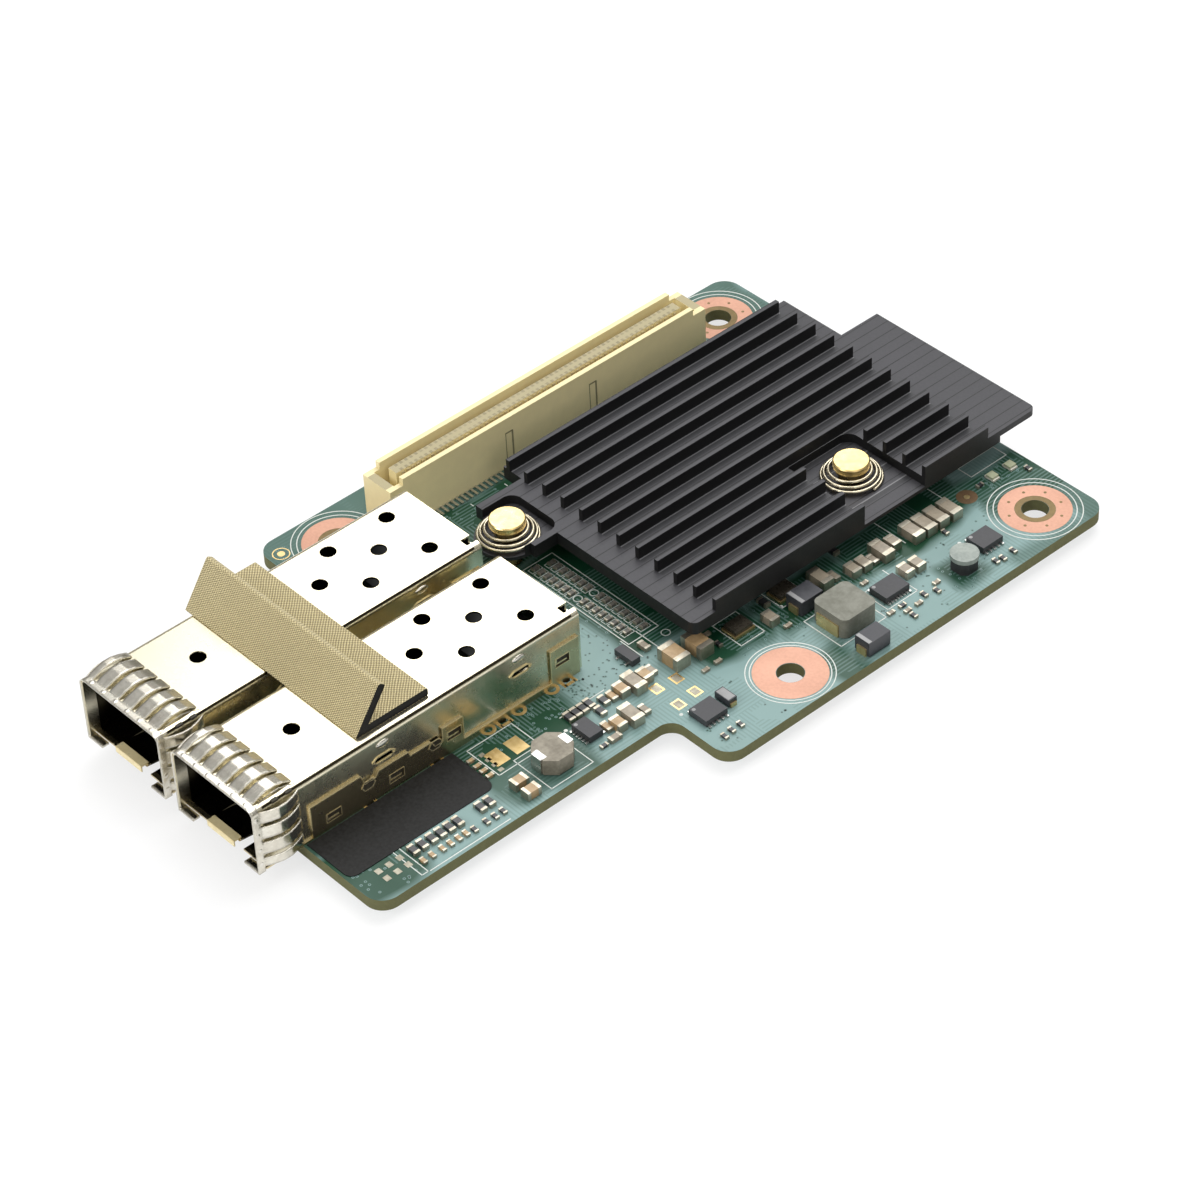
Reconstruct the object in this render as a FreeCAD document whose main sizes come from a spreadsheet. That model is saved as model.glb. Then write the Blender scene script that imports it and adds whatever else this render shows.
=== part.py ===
import FreeCAD, Part
import math
import os
import re
import Sketcher
from FreeCAD import Vector

# A mezzanine network card: a notched circuit board with two pluggable-module cages at its
# front edge, a long board-to-board connector along one side, a finned heat sink held by two
# sprung pins over the controller chip, and the parts of the power supply around it.
# X runs across the two ports, Y from the port mouths to the back edge, Z up from the
# component side of the board. The sizes below are in millimetres, from the card's own
# corner: X = 0 at the connector's long edge, Y = 0 at the port mouths, Z = 0 on the board.

SIZES = [
    # board outline
    ("board_thick", 1.57), ("board_wide", 68.0), ("board_back", 114.5), ("board_front", 6.3),
    ("notch_margin", 1.95), ("notch_left_y", 35.0), ("notch_right_x", 58.5), ("notch_right_y", 50.5),
    ("corner_radius", 2.5), ("notch_radius", 2.0),
    # mounting holes
    ("hole_radius", 1.7), ("hole_back_x", 6.04), ("hole_back_y", 107.6), ("corner_hole_inset", 6.0),
    ("hole_corner_y", 108.0), ("side_hole_inset", 5.5), ("hole_side_y", 65.8), ("hole_front_y", 43.3),
    # port cages: cover, tray and spring collar
    ("cage_right", 44.65), ("cage_wide", 14.6), ("cage_gap", 2.7), ("cage_high", 9.0),
    ("cage_long", 48.9), ("sheet_metal", 0.25), ("bend_radius", 0.8),
    ("vent_radius", 1.05), ("vent_offset", 0.5), ("vent_side", 4.0), ("vent_step", 9.1),
    ("vent_inset", 4.9), ("vent_front_y", 12.1),
    ("rear_notch_wide", 1.3), ("rear_notch_deep", 1.5), ("rear_notch_inset", 0.9),
    ("slit_long", 2.6), ("slit_high", 0.5), ("slit_z", 5.2), ("slit_one_y", 17.6), ("slit_two_y", 38.3),
    ("tray_front", 1.05), ("tray_inset", 0.5), ("tray_opening", 1.5), ("tray_rim", 2.1),
    ("latch_slot_wide", 6.6), ("latch_slot_long", 7.2), ("latch_wide", 5.3), ("latch_lift", 0.9),
    ("latch_front", 1.35),
    ("flap_front", 7.8), ("flap_high", 4.9), ("flap_mid", 4.1), ("flap_low", 3.4), ("flap_rear", 5.6),
    ("flap_sill", 0.9), ("window_long", 2.2), ("window_high", 1.3), ("window_z", 1.1),
    ("pin_wide", 0.7), ("pin_long", 2.4), ("pin_hole_radius", 0.55), ("pin_rear", 2.7),
    ("pin_step", 10.0),
    ("collar_thick", 0.15), ("collar_band", 1.0), ("collar_drop", 0.3), ("collar_foot", 2.6), ("finger_long", 5.6),
    ("finger_arch", 0.8), ("finger_metal", 0.12), ("finger_slot", 0.6), ("finger_pitch", 2.43),
    ("finger_first", 1.4), ("side_finger_first", 1.7), ("side_finger_pitch", 2.32), ("finger_inset", 0.4),
    # connector inside each cage
    ("port_rear", 2.7), ("port_wide", 10.6), ("port_deep", 9.2), ("port_high", 5.6), ("card_slot_z", 2.6),
    ("card_slot_high", 1.6), ("card_slot_wide", 9.4), ("card_slot_deep", 6.0), ("blade_wide", 0.35),
    ("blade_pitch", 0.8), ("blade_high", 0.3), ("blade_long", 4.6),
    # board-to-board connector
    ("plug_x", 4.75), ("plug_wide", 5.2), ("plug_y", 49.0), ("plug_long", 52.8), ("plug_high", 7.6),
    ("plug_wall", 0.7), ("plug_end_wall", 1.2), ("plug_end_long", 2.1), ("plug_end_drop", 1.0),
    ("plug_floor", 2.0), ("tongue_wide", 1.5), ("tongue_high", 7.2), ("tongue_inset", 1.4),
    ("contact_pitch", 0.8), ("contact_wide", 0.42), ("contact_proud", 0.14), ("contact_top", 6.95),
    ("tail_wide", 0.34), ("tail_long", 1.5), ("tail_metal", 0.22),
    # heat sink
    ("sink_z", 3.2), ("plate_thick", 1.8), ("fin_high", 1.7), ("fin_thick", 0.62), ("fin_pitch", 3.356),
    ("fin_first_x", 15.07), ("fin_front_y", 63.3), ("fin_long", 46.1), ("plate_left", 14.3),
    ("plate_right", 52.6), ("plate_front", 59.7), ("plate_rear", 111.6), ("shelf_left", 24.8),
    ("shelf_rear", 118.0), ("shelf_lift", 0.9), ("jog_x", 17.6), ("jog_y", 63.5), ("lobe_right", 28.5),
    ("ear_radius", 4.2), ("pocket_floor", 0.5), ("pocket_radius", 1.6), ("pocket_side", 4.4), ("pocket_shift", 0.3),
    ("pocket_reach", 4.9), ("far_pocket_left", 39.3), ("far_pocket_front", 88.0), ("far_pocket_rear", 98.4),
    ("plate_corner", 1.0),
    # sprung pins
    ("pin_a_x", 23.5), ("pin_a_y", 56.1), ("pin_b_x", 44.95), ("pin_b_y", 93.3), ("shank_radius", 1.4),
    ("shank_hole", 1.6), ("head_radius", 2.3), ("head_top", 6.5), ("head_thick", 0.9),
    ("barb_radius", 1.85), ("barb_long", 1.3),
    ("barb_gap", 0.15), ("slit_in_pin", 0.5), ("wire_radius", 0.2), ("coil_radius", 3.85),
    ("coil_turns", 3.5), ("coil_taper", 1.6), ("coil_gap", 0.03),
    # controller chip under the heat sink
    ("chip_x", 34.2), ("chip_y", 74.7), ("chip_wide", 23.0), ("ball_high", 0.4), ("substrate_thick", 0.9),
    ("die_wide", 15.0), ("paste_thick", 0.3), ("ball_margin", 1.0),
    # seal across the two cages
    ("seal_overhang", 0.75), ("seal_short", 1.2), ("seal_front", 16.0), ("seal_rear", 26.9),
    ("seal_thick", 1.15), ("seal_tip_y", 20.1), ("seal_tip_z", 6.0), ("fabric", 0.15),
    # black insulating sheet beside the second cage
    ("film_clear", 0.4), ("film_y", 6.7), ("film_wide", 7.8), ("film_long", 21.6), ("film_thick", 0.12),
    # chip parts: length, width and height of the five sizes
    ("huge_long", 3.5), ("huge_wide", 2.1), ("huge_high", 1.8), ("long_long", 3.2), ("long_wide", 1.6),
    ("long_high", 1.3), ("mid_long", 2.0), ("mid_wide", 1.3), ("mid_high", 1.1), ("small_long", 1.6),
    ("small_wide", 0.8), ("small_high", 0.55), ("tiny_long", 1.0), ("tiny_wide", 0.5), ("tiny_high", 0.35),
    ("cap_share", 0.22), ("cap_proud", 0.03),
    ("field_x", 27.2), ("field_y", 57.0), ("field_row", 2.1), ("field_step", 1.1),
    # packages, diodes, crystals, inductors and lamps
    ("package_high", 1.0), ("package_lift", 0.12), ("lead_wide", 0.28), ("lead_long", 0.45),
    ("lead_metal", 0.25), ("diode_high", 2.2), ("diode_lift", 0.15), ("strap_metal", 0.2),
    ("strap_wide", 1.5), ("crystal_wide", 2.5), ("crystal_long", 3.2), ("crystal_high", 0.95),
    ("crystal_base", 0.4), ("choke_x", 60.2), ("choke_y", 77.05), ("choke_wide", 5.6), ("choke_high", 2.9),
    ("choke_corner", 0.9), ("choke_strap", 3.6), ("round_choke_x", 54.25), ("round_choke_y", 35.8),
    ("round_choke_wide", 4.7), ("round_choke_high", 2.3), ("round_choke_clip", 1.25), ("round_choke_strap", 1.6), ("drum_x", 63.5),
    ("drum_y", 94.0), ("drum_radius", 1.8), ("drum_high", 2.3), ("drum_base", 3.0), ("drum_base_high", 1.7),
    ("lamp_long", 1.6), ("lamp_wide", 1.1), ("lamp_high", 0.55), ("lamp_base", 0.25),
]
SIZE = dict(SIZES)

doc = FreeCAD.newDocument("mezzanine_network_card")
sheet = doc.addObject("Spreadsheet::Sheet", "Sizes")
for row, (alias, number) in enumerate(SIZES, 1):
    sheet.set("A%d" % row, alias)
    sheet.set("B%d" % row, str(number))
    sheet.setAlias("B%d" % row, alias)
doc.recompute()

nodes = []


# ---------- small helpers for the features ----------

def cells(expression):
    """The expression with each size's name turned into its cell of the sheet."""
    return re.sub(r"[A-Za-z_]\w*", lambda word: "Sizes." + word.group(0), str(expression))


def value(expression):
    """The number that an expression of the sheet's sizes has now."""
    return float(sheet.evalExpression(cells(expression)))


def new_body(label):
    """An empty body, moved so that the back mounting hole's axis is the origin."""
    body = doc.addObject("PartDesign::Body", label)
    body.Label = label
    body.AllowCompound = True
    seat(body)
    nodes.append(body)
    return body


def seat(thing):
    """Tie the placement of an object to the axis of the back mounting hole."""
    thing.setExpression("Placement.Base.x", cells("0 - hole_back_x"))
    thing.setExpression("Placement.Base.y", cells("0 - hole_back_y"))


def new_sketch(body, plane, height="0", shift=None):
    """A sketch on one of the body's origin planes, lifted along the plane's normal."""
    sketch = body.newObject("Sketcher::SketchObject", body.Label + "_sketch")
    base = [face for face in body.Origin.OriginFeatures if face.Role == plane][0]
    sketch.AttachmentSupport = [(base, "")]
    sketch.MapMode = "FlatFace"
    sketch.setExpression("AttachmentOffset.Base.z", cells(height))
    if shift:
        sketch.setExpression("AttachmentOffset.Base.x", cells(shift[0]))
        sketch.setExpression("AttachmentOffset.Base.y", cells(shift[1]))
    return sketch


def dimension(sketch, kind, places, expression):
    """One driving dimension of a sketch, bound to the sheet."""
    index = sketch.addConstraint(Sketcher.Constraint(kind, *places, value(expression)))
    sketch.setExpression("Constraints[%d]" % index, cells(expression))


def outline(sketch, points):
    """A closed outline of straight edges whose corners are expressions of the sizes."""
    first = sketch.GeometryCount
    spots = [Vector(value(x), value(y), 0) for x, y in points]
    count = len(spots)
    for i in range(count):
        sketch.addGeometry(Part.LineSegment(spots[i], spots[(i + 1) % count]), False)
    for i in range(count):
        sketch.addConstraint(Sketcher.Constraint("Coincident", first + i, 2, first + (i + 1) % count, 1))
    for i, (x, y) in enumerate(points):
        dimension(sketch, "DistanceX", (-1, 1, first + i, 1), x)
        dimension(sketch, "DistanceY", (-1, 1, first + i, 1), y)


def rectangle(sketch, left, low, wide, high):
    """A rectangle from its lower left corner, its width and its height."""
    right = "(%s) + (%s)" % (left, wide)
    top = "(%s) + (%s)" % (low, high)
    outline(sketch, [(left, low), (right, low), (right, top), (left, top)])


def circle(sketch, x, y, radius):
    """A circle with its centre and radius bound to the sheet."""
    index = sketch.addGeometry(Part.Circle(Vector(value(x), value(y), 0), Vector(0, 0, 1), value(radius)), False)
    dimension(sketch, "DistanceX", (-1, 1, index, 3), x)
    dimension(sketch, "DistanceY", (-1, 1, index, 3), y)
    dimension(sketch, "Radius", (index,), radius)


def boxes(sketch, rectangles):
    """Many plain rectangles, each (centre x, centre y, size x, size y), such as a row of contacts."""
    lines = []
    for x, y, wide, high in rectangles:
        spots = [Vector(x - wide / 2, y - high / 2, 0), Vector(x + wide / 2, y - high / 2, 0),
                 Vector(x + wide / 2, y + high / 2, 0), Vector(x - wide / 2, y + high / 2, 0)]
        lines += [Part.LineSegment(spots[i - 1], spots[i]) for i in range(4)]
    sketch.addGeometry(lines, False)


def polyline(sketch, corners):
    """A closed outline from plain coordinates."""
    spots = [Vector(x, y, 0) for x, y in corners]
    sketch.addGeometry([Part.LineSegment(spots[i - 1], spots[i]) for i in range(len(spots))], False)


def facet_ring(sketch, x, y, radius, sides):
    """A small round hole drawn with a few straight sides, for holes that come in rows."""
    centre_x, centre_y, reach = value(x), value(y), value(radius)
    turns = [(i + 0.5) * 2 * math.pi / sides for i in range(sides)]
    polyline(sketch, [(centre_x + reach * math.cos(turn), centre_y + reach * math.sin(turn)) for turn in turns])


def pad(body, sketch, length, back=False):
    """Extrude a sketch along its normal, or against it."""
    feature = body.newObject("PartDesign::Pad", body.Label + "_pad")
    feature.Profile = sketch
    feature.Reversed = back
    feature.setExpression("Length", cells(length))
    sketch.Visibility = False
    doc.recompute()
    return feature


def pocket(body, sketch, depth, along=False):
    """Cut a sketch against its normal, or along it, and see that something was cut."""
    before = body.Shape.Volume
    feature = body.newObject("PartDesign::Pocket", body.Label + "_pocket")
    feature.Profile = sketch
    feature.Reversed = along
    feature.setExpression("Length", cells(depth))
    doc.recompute()
    if body.Shape.Volume > before - 1e-6:
        raise RuntimeError("a pocket of %s cut nothing" % body.Label)
    return feature


def repeat(body, feature, axis, pitch, count):
    """A row of a feature along one of the body's axes."""
    row = body.newObject("PartDesign::LinearPattern", body.Label + "_row")
    row.Originals = [feature]
    row.Direction = ([line for line in body.Origin.OriginFeatures if line.Role == axis][0], [""])
    row.setExpression("Length", cells("(%s) * %d" % (pitch, count - 1)))
    row.Occurrences = count
    body.Tip = row
    doc.recompute()
    return row


def edges_where(shape, test):
    """The names of the straight edges whose middle and direction pass a test."""
    names = []
    for number, edge in enumerate(shape.Edges, 1):
        start = edge.Vertexes[0].Point
        span = edge.Vertexes[-1].Point - start
        if span.Length > 0.01 and abs(span.Length - edge.Length) < 1e-6:
            if test(start + span * 0.5, span * (1 / span.Length)):
                names.append("Edge%d" % number)
    return names


def fillet(body, feature, names, radius):
    """Round the named edges of a feature."""
    rounding = body.newObject("PartDesign::Fillet", body.Label + "_fillet")
    rounding.Base = (feature, names)
    rounding.setExpression("Radius", cells(radius))
    doc.recompute()
    if not names or rounding.Shape.isNull() or not rounding.Shape.isValid():
        raise RuntimeError("a fillet of %s failed" % body.Label)
    return rounding


def upright_at(points):
    """A test for the upright edges that stand at the given points."""
    def test(middle, direction):
        if abs(direction.z) < 0.999:
            return False
        return any(abs(middle.x - x) < 0.01 and abs(middle.y - y) < 0.01 for x, y in points)
    return test


# ---------- circuit board ----------

FIRST_CAGE = "cage_right - 2 * cage_wide - cage_gap"
CAGE_SIDES = [FIRST_CAGE, "cage_right - cage_wide"]
CAGE_REAR = "cage_long - tray_inset"
PIN_ROWS = ["cage_long - pin_rear - %d * pin_step" % i for i in range(4)]
PORT_Y = "cage_long - port_rear - port_deep"
NOTCH_LEFT = FIRST_CAGE + " - notch_margin"
CORNER_HOLE_X = "board_wide - corner_hole_inset"
SIDE_HOLE_X = "board_wide - side_hole_inset"

board = new_body("circuit_board")
sketch = new_sketch(board, "XY_Plane", "0 - board_thick")
BOARD_POINTS = [
    ("0", "notch_left_y"), (NOTCH_LEFT, "notch_left_y"), (NOTCH_LEFT, "board_front"),
    ("notch_right_x", "board_front"), ("notch_right_x", "notch_right_y"), ("board_wide", "notch_right_y"),
    ("board_wide", "board_back"), ("0", "board_back"),
]
outline(sketch, BOARD_POINTS)
circle(sketch, "hole_back_x", "hole_back_y", "hole_radius")
circle(sketch, CORNER_HOLE_X, "hole_corner_y", "hole_radius")
circle(sketch, SIDE_HOLE_X, "hole_side_y", "hole_radius")
circle(sketch, "hole_back_x", "hole_front_y", "hole_radius")
facet_ring(sketch, "pin_a_x", "pin_a_y", "shank_hole", 16)
facet_ring(sketch, "pin_b_x", "pin_b_y", "shank_hole", 16)
for side in CAGE_SIDES:
    for row_y in PIN_ROWS:
        facet_ring(sketch, side + " - sheet_metal / 2", row_y, "pin_hole_radius", 8)
        facet_ring(sketch, side + " + cage_wide + sheet_metal / 2", row_y, "pin_hole_radius", 8)
slab = pad(board, sketch, "board_thick")
spots = [(value(x), value(y)) for x, y in BOARD_POINTS]
inner = [spots[1], spots[4]]
outer = [spot for spot in spots if spot not in inner]
rounded = fillet(board, slab, edges_where(slab.Shape, upright_at(outer)), "corner_radius")
fillet(board, rounded, edges_where(rounded.Shape, upright_at(inner)), "notch_radius")

# ---------- port cages ----------


def cage_cover(number, left):
    """Folded cover: top, two sides and the back, with vents, slits and a corner notch."""
    cover = new_body("cage_cover_%d" % number)
    base = new_sketch(cover, "XY_Plane", "sheet_metal")
    rectangle(base, left, "0.15", "cage_wide", "cage_long - 0.15")
    block = pad(cover, base, "cage_high - sheet_metal")
    low_x = value(left)
    high_x = value(left + " + cage_wide")
    top = value("cage_high")

    def bends(middle, direction):
        side = min(abs(middle.x - low_x), abs(middle.x - high_x)) < 0.01
        along = abs(direction.y) > 0.999 and abs(middle.z - top) < 0.01
        return side and along

    bent = fillet(cover, block, edges_where(block.Shape, bends), "bend_radius")
    front = value("0.15")
    low_z = value("sheet_metal")
    open_faces = []
    for face_number, face in enumerate(bent.Shape.Faces, 1):
        box = face.BoundBox
        if box.YMax < front + 0.01 or box.ZMax < low_z + 0.01:
            open_faces.append("Face%d" % face_number)
    shell = cover.newObject("PartDesign::Thickness", "cage_cover_shell")
    shell.Base = (bent, open_faces)
    shell.setExpression("Value", cells("sheet_metal"))
    shell.Reversed = True
    shell.Join = "Intersection"
    doc.recompute()
    vents = new_sketch(cover, "XY_Plane", "cage_high + 1")
    middle_x = left + " + cage_wide / 2 - vent_offset"
    vent_rear = "cage_long - vent_inset"
    for x, y in [(" - vent_side", vent_rear), (" + vent_side", vent_rear),
                 ("", vent_rear + " - vent_step / 2"), (" - vent_side", vent_rear + " - vent_step"),
                 (" + vent_side", vent_rear + " - vent_step"), ("", vent_rear + " - 3 * vent_step / 2"),
                 ("", "vent_front_y")]:
        facet_ring(vents, middle_x + x, y, "vent_radius", 14)
    notch_x = left + " + cage_wide - rear_notch_inset - rear_notch_wide"
    rectangle(vents, notch_x, "cage_long - rear_notch_deep", "rear_notch_wide", "rear_notch_deep + 1")
    pocket(cover, vents, "1 + bend_radius + sheet_metal")
    slits = new_sketch(cover, "YZ_Plane", left + " - 1")
    for slit_y in ("slit_one_y", "slit_two_y"):
        rectangle(slits, slit_y, "slit_z", "slit_long", "slit_high")
    pocket(cover, slits, "cage_wide + 2", along=True)
    return cover


def cage_tray(number, left):
    """Tray under the cover: floor with the latch tongue, side flaps with windows, press-in pins."""
    tray = new_body("cage_tray_%d" % number)
    floor = new_sketch(tray, "XY_Plane", "0")
    low = left + " - sheet_metal"
    wide = "cage_wide + 2 * sheet_metal"
    centre = left + " + cage_wide / 2"
    slot_left = centre + " - latch_slot_wide / 2"
    slot_right = centre + " + latch_slot_wide / 2"
    tongue_left = centre + " - latch_wide / 2"
    tongue_right = centre + " + latch_wide / 2"
    right = left + " + cage_wide + sheet_metal"
    slot_end = "tray_front + latch_slot_long"
    rear = CAGE_REAR
    opening = PORT_Y + " - tray_opening"
    outline(floor, [
        (low, "tray_front"), (slot_left, "tray_front"), (slot_left, slot_end), (slot_right, slot_end),
        (slot_right, "tray_front"), (right, "tray_front"), (right, rear), (right + " - tray_rim", rear),
        (right + " - tray_rim", opening), (low + " + tray_rim", opening),
        (low + " + tray_rim", rear), (low, rear)])
    pad(tray, floor, "sheet_metal")
    tongue = new_sketch(tray, "YZ_Plane", tongue_left)
    outline(tongue, [
        (slot_end, "0"), (slot_end, "sheet_metal"), ("latch_front", "latch_lift + sheet_metal"),
        ("latch_front - sheet_metal", "latch_lift")])
    pad(tray, tongue, "latch_wide")
    flap_top = [
        ("flap_front", "flap_high"), ("flap_front + 7.4", "flap_high"), ("flap_front + 7.9", "flap_low"),
        ("flap_front + 9.5", "flap_low"), ("flap_front + 10", "flap_mid"), ("flap_front + 14.4", "flap_mid"),
        ("flap_front + 14.6", "flap_low"), ("flap_front + 17.8", "flap_low"),
        ("flap_front + 18.3", "flap_low - 0.9"), ("flap_front + 19.5", "flap_low - 0.9"),
        ("flap_front + 19.5", "flap_mid + 0.3"), ("flap_front + 22.6", "flap_mid + 0.3"),
        ("flap_front + 22.6", "flap_sill"), (rear + " - 4.4", "flap_sill"),
        (rear + " - 4.4", "flap_rear"), (rear, "flap_rear")]
    for side in (low, left + " + cage_wide"):
        flap = new_sketch(tray, "YZ_Plane", side)
        outline(flap, [("flap_front", "0"), (rear, "0")] + flap_top[::-1])
        pad(tray, flap, "sheet_metal")
    windows = new_sketch(tray, "YZ_Plane", low + " - 1")
    for start, lift in (("flap_front + 2.1", "0"), ("flap_front + 11.4", "0"), ("flap_front + 20.1", "0.9"),
                        (rear + " - 3.7", "1.7")):
        rectangle(windows, start, "window_z + " + lift, "window_long", "window_high")
    pocket(tray, windows, wide + " + 2", along=True)
    pins = new_sketch(tray, "XY_Plane", "0")
    for side in (low, left + " + cage_wide"):
        for row_y in PIN_ROWS:
            rectangle(pins, side, row_y + " - pin_wide / 2", "sheet_metal", "pin_wide")
    pad(tray, pins, "pin_long", back=True)
    return tray


def arch(sketch, start, end, rise, metal, flip):
    """A bowed strip of sheet metal from start to end, made of five straight runs."""
    (x0, y0), (x1, y1) = start, end
    thick = metal if rise > 0 else -metal
    low, high = [], []
    for step in range(6):
        share = step / 5
        bow = rise * math.sin(math.pi * share)
        x, y = x0 + (x1 - x0) * share, y0 + (y1 - y0) * share
        low.append((x + bow, y) if flip else (x, y + bow))
        high.append((x + bow + thick, y) if flip else (x, y + bow + thick))
    polyline(sketch, low + high[::-1])


def cage_collar(number, left):
    """Grounding collar round the mouth: a band with bowed spring fingers on the top and sides."""
    collar = new_body("cage_collar_%d" % number)
    band = new_sketch(collar, "XZ_Plane", "0")
    rectangle(band, left + " - collar_thick", "0 - collar_drop", "cage_wide + 2 * collar_thick",
              "cage_high + collar_drop + collar_thick")
    rectangle(band, left, "0", "cage_wide", "cage_high")
    ring = pad(collar, band, "collar_band", back=True)
    skin = value("collar_thick")
    inner_x = [value(left), value(left + " + cage_wide")]
    outer_x = [inner_x[0] - skin, inner_x[1] + skin]
    ring_top = value("cage_high")

    def inner_corner(middle, direction):
        level = abs(middle.z - ring_top) < 0.01 and min(abs(middle.x - x) for x in inner_x) < 0.01
        return level and abs(direction.y) > 0.999

    def outer_corner(middle, direction):
        level = abs(middle.z - ring_top - skin) < 0.01 and min(abs(middle.x - x) for x in outer_x) < 0.01
        return level and abs(direction.y) > 0.999

    bent = fillet(collar, ring, edges_where(ring.Shape, inner_corner), "bend_radius")
    fillet(collar, bent, edges_where(bent.Shape, outer_corner), "bend_radius + collar_thick")
    foot = new_sketch(collar, "XY_Plane", "0 - collar_drop - 1")
    rectangle(foot, left + " + collar_foot", "0 - 1", "cage_wide - 2 * collar_foot", "collar_band + 2")
    pocket(collar, foot, "collar_drop + 1.5", along=True)
    start = value("collar_band")
    end = value("collar_band + finger_long")
    top = value("cage_high")
    metal = value("finger_metal")
    rise = value("finger_arch")
    low_x = value(left)
    high_x = value(left + " + cage_wide")
    top_fingers = new_sketch(collar, "YZ_Plane", left + " + finger_inset")
    arch(top_fingers, (start, top + 0.02), (end, top + 0.02), rise, metal, False)
    pad(collar, top_fingers, "cage_wide - 2 * finger_inset")
    for edge, bow in ((high_x + 0.02, rise), (low_x - 0.02, -rise)):
        side_fingers = new_sketch(collar, "XY_Plane", "finger_inset")
        arch(side_fingers, (edge, start), (edge, end), bow, metal, True)
        pad(collar, side_fingers, "cage_high - 2 * finger_inset")
    slot = new_sketch(collar, "XY_Plane", "cage_high - 0.05")
    rectangle(slot, left + " + finger_first", "collar_band", "finger_slot", "finger_long + 1")
    cut = pocket(collar, slot, "finger_arch + collar_thick + 1", along=True)
    repeat(collar, cut, "X_Axis", "finger_pitch", 6)
    side_slot = new_sketch(collar, "YZ_Plane", left + " - 2")
    rectangle(side_slot, "collar_band", "side_finger_first", "finger_long + 1", "finger_slot")
    side_cut = pocket(collar, side_slot, "cage_wide + 4", along=True)
    repeat(collar, side_cut, "Z_Axis", "side_finger_pitch", 3)
    return collar


def port_connector(number, left):
    """Card-edge connector on the board at the back of a cage, and its two rows of contacts."""
    housing = new_body("port_connector_%d" % number)
    centre = left + " + cage_wide / 2"
    base = new_sketch(housing, "XY_Plane", "0")
    rectangle(base, centre + " - port_wide / 2", PORT_Y, "port_wide", "port_deep")
    pad(housing, base, "port_high")
    slot = new_sketch(housing, "XZ_Plane", "1 - (%s)" % PORT_Y)
    rectangle(slot, centre + " - card_slot_wide / 2", "card_slot_z", "card_slot_wide", "card_slot_high")
    pocket(housing, slot, "card_slot_deep + 1")
    blades = new_body("port_contacts_%d" % number)
    half = value("card_slot_high / 2 - blade_high / 2")
    middle = value("card_slot_z + card_slot_high / 2")
    x0 = value(centre)
    rows = new_sketch(blades, "XZ_Plane", "blade_long - card_slot_deep - (%s)" % PORT_Y)
    for i in range(10):
        x = x0 + (i - 4.5) * value("blade_pitch")
        boxes(rows, [(x, middle - half, value("blade_wide"), value("blade_high")),
                     (x, middle + half, value("blade_wide"), value("blade_high"))])
    pad(blades, rows, "blade_long", back=True)


for number, side in enumerate(CAGE_SIDES, 1):
    cage_cover(number, side)
    cage_tray(number, side)
    cage_collar(number, side)
    port_connector(number, side)

# ---------- board-to-board connector ----------

plug = new_body("mezzanine_connector")
sketch = new_sketch(plug, "XY_Plane", "0")
rectangle(sketch, "plug_x", "plug_y", "plug_wide", "plug_long")
pad(plug, sketch, "plug_high")
sketch = new_sketch(plug, "XY_Plane", "plug_high")
rectangle(sketch, "plug_x - 1", "plug_y - 1", "plug_wide + 2", "plug_end_long + 1")
rectangle(sketch, "plug_x - 1", "plug_y + plug_long - plug_end_long", "plug_wide + 2", "plug_end_long + 1")
pocket(plug, sketch, "plug_end_drop")
sketch = new_sketch(plug, "XY_Plane", "plug_high")
rectangle(sketch, "plug_x + plug_wall", "plug_y + plug_end_wall", "plug_wide - 2 * plug_wall",
          "plug_long - 2 * plug_end_wall")
pocket(plug, sketch, "plug_high - plug_floor")
TONGUE_X = "plug_x + plug_wide / 2 - tongue_wide / 2"
sketch = new_sketch(plug, "XY_Plane", "plug_floor")
rectangle(sketch, TONGUE_X, "plug_y + plug_end_wall + tongue_inset", "tongue_wide",
          "plug_long - 2 * plug_end_wall - 2 * tongue_inset")
pad(plug, sketch, "tongue_high - plug_floor")

contacts = new_body("mezzanine_contacts")
CONTACT_COUNT = int(value("(plug_long - 2 * plug_end_long) / contact_pitch") + 0.01)
first_y = value("plug_y + plug_long / 2 - contact_pitch * %g" % ((CONTACT_COUNT - 1) / 2))
rows_y = [first_y + i * value("contact_pitch") for i in range(CONTACT_COUNT)]
sketch = new_sketch(contacts, "XY_Plane", "plug_floor")
proud = value("contact_proud")
tongue_low = value(TONGUE_X) - proud / 2
tongue_high = value(TONGUE_X + " + tongue_wide") + proud / 2
wide = value("contact_wide")
boxes(sketch, [(x, y, proud, wide) for y in rows_y[1:-1] for x in (tongue_low, tongue_high)])
pad(contacts, sketch, "contact_top - plug_floor")

tails = new_body("mezzanine_tails")
foot = value("tail_long")
narrow = value("tail_wide")
left_x = value("plug_x")
right_x = value("plug_x + plug_wide")
sketch = new_sketch(tails, "XY_Plane", "0")
boxes(sketch, [(x, y, foot, narrow) for y in rows_y for x in (left_x - foot / 2, right_x + foot / 2)])
pad(tails, sketch, "tail_metal")

# ---------- heat sink, its pins and springs ----------

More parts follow.
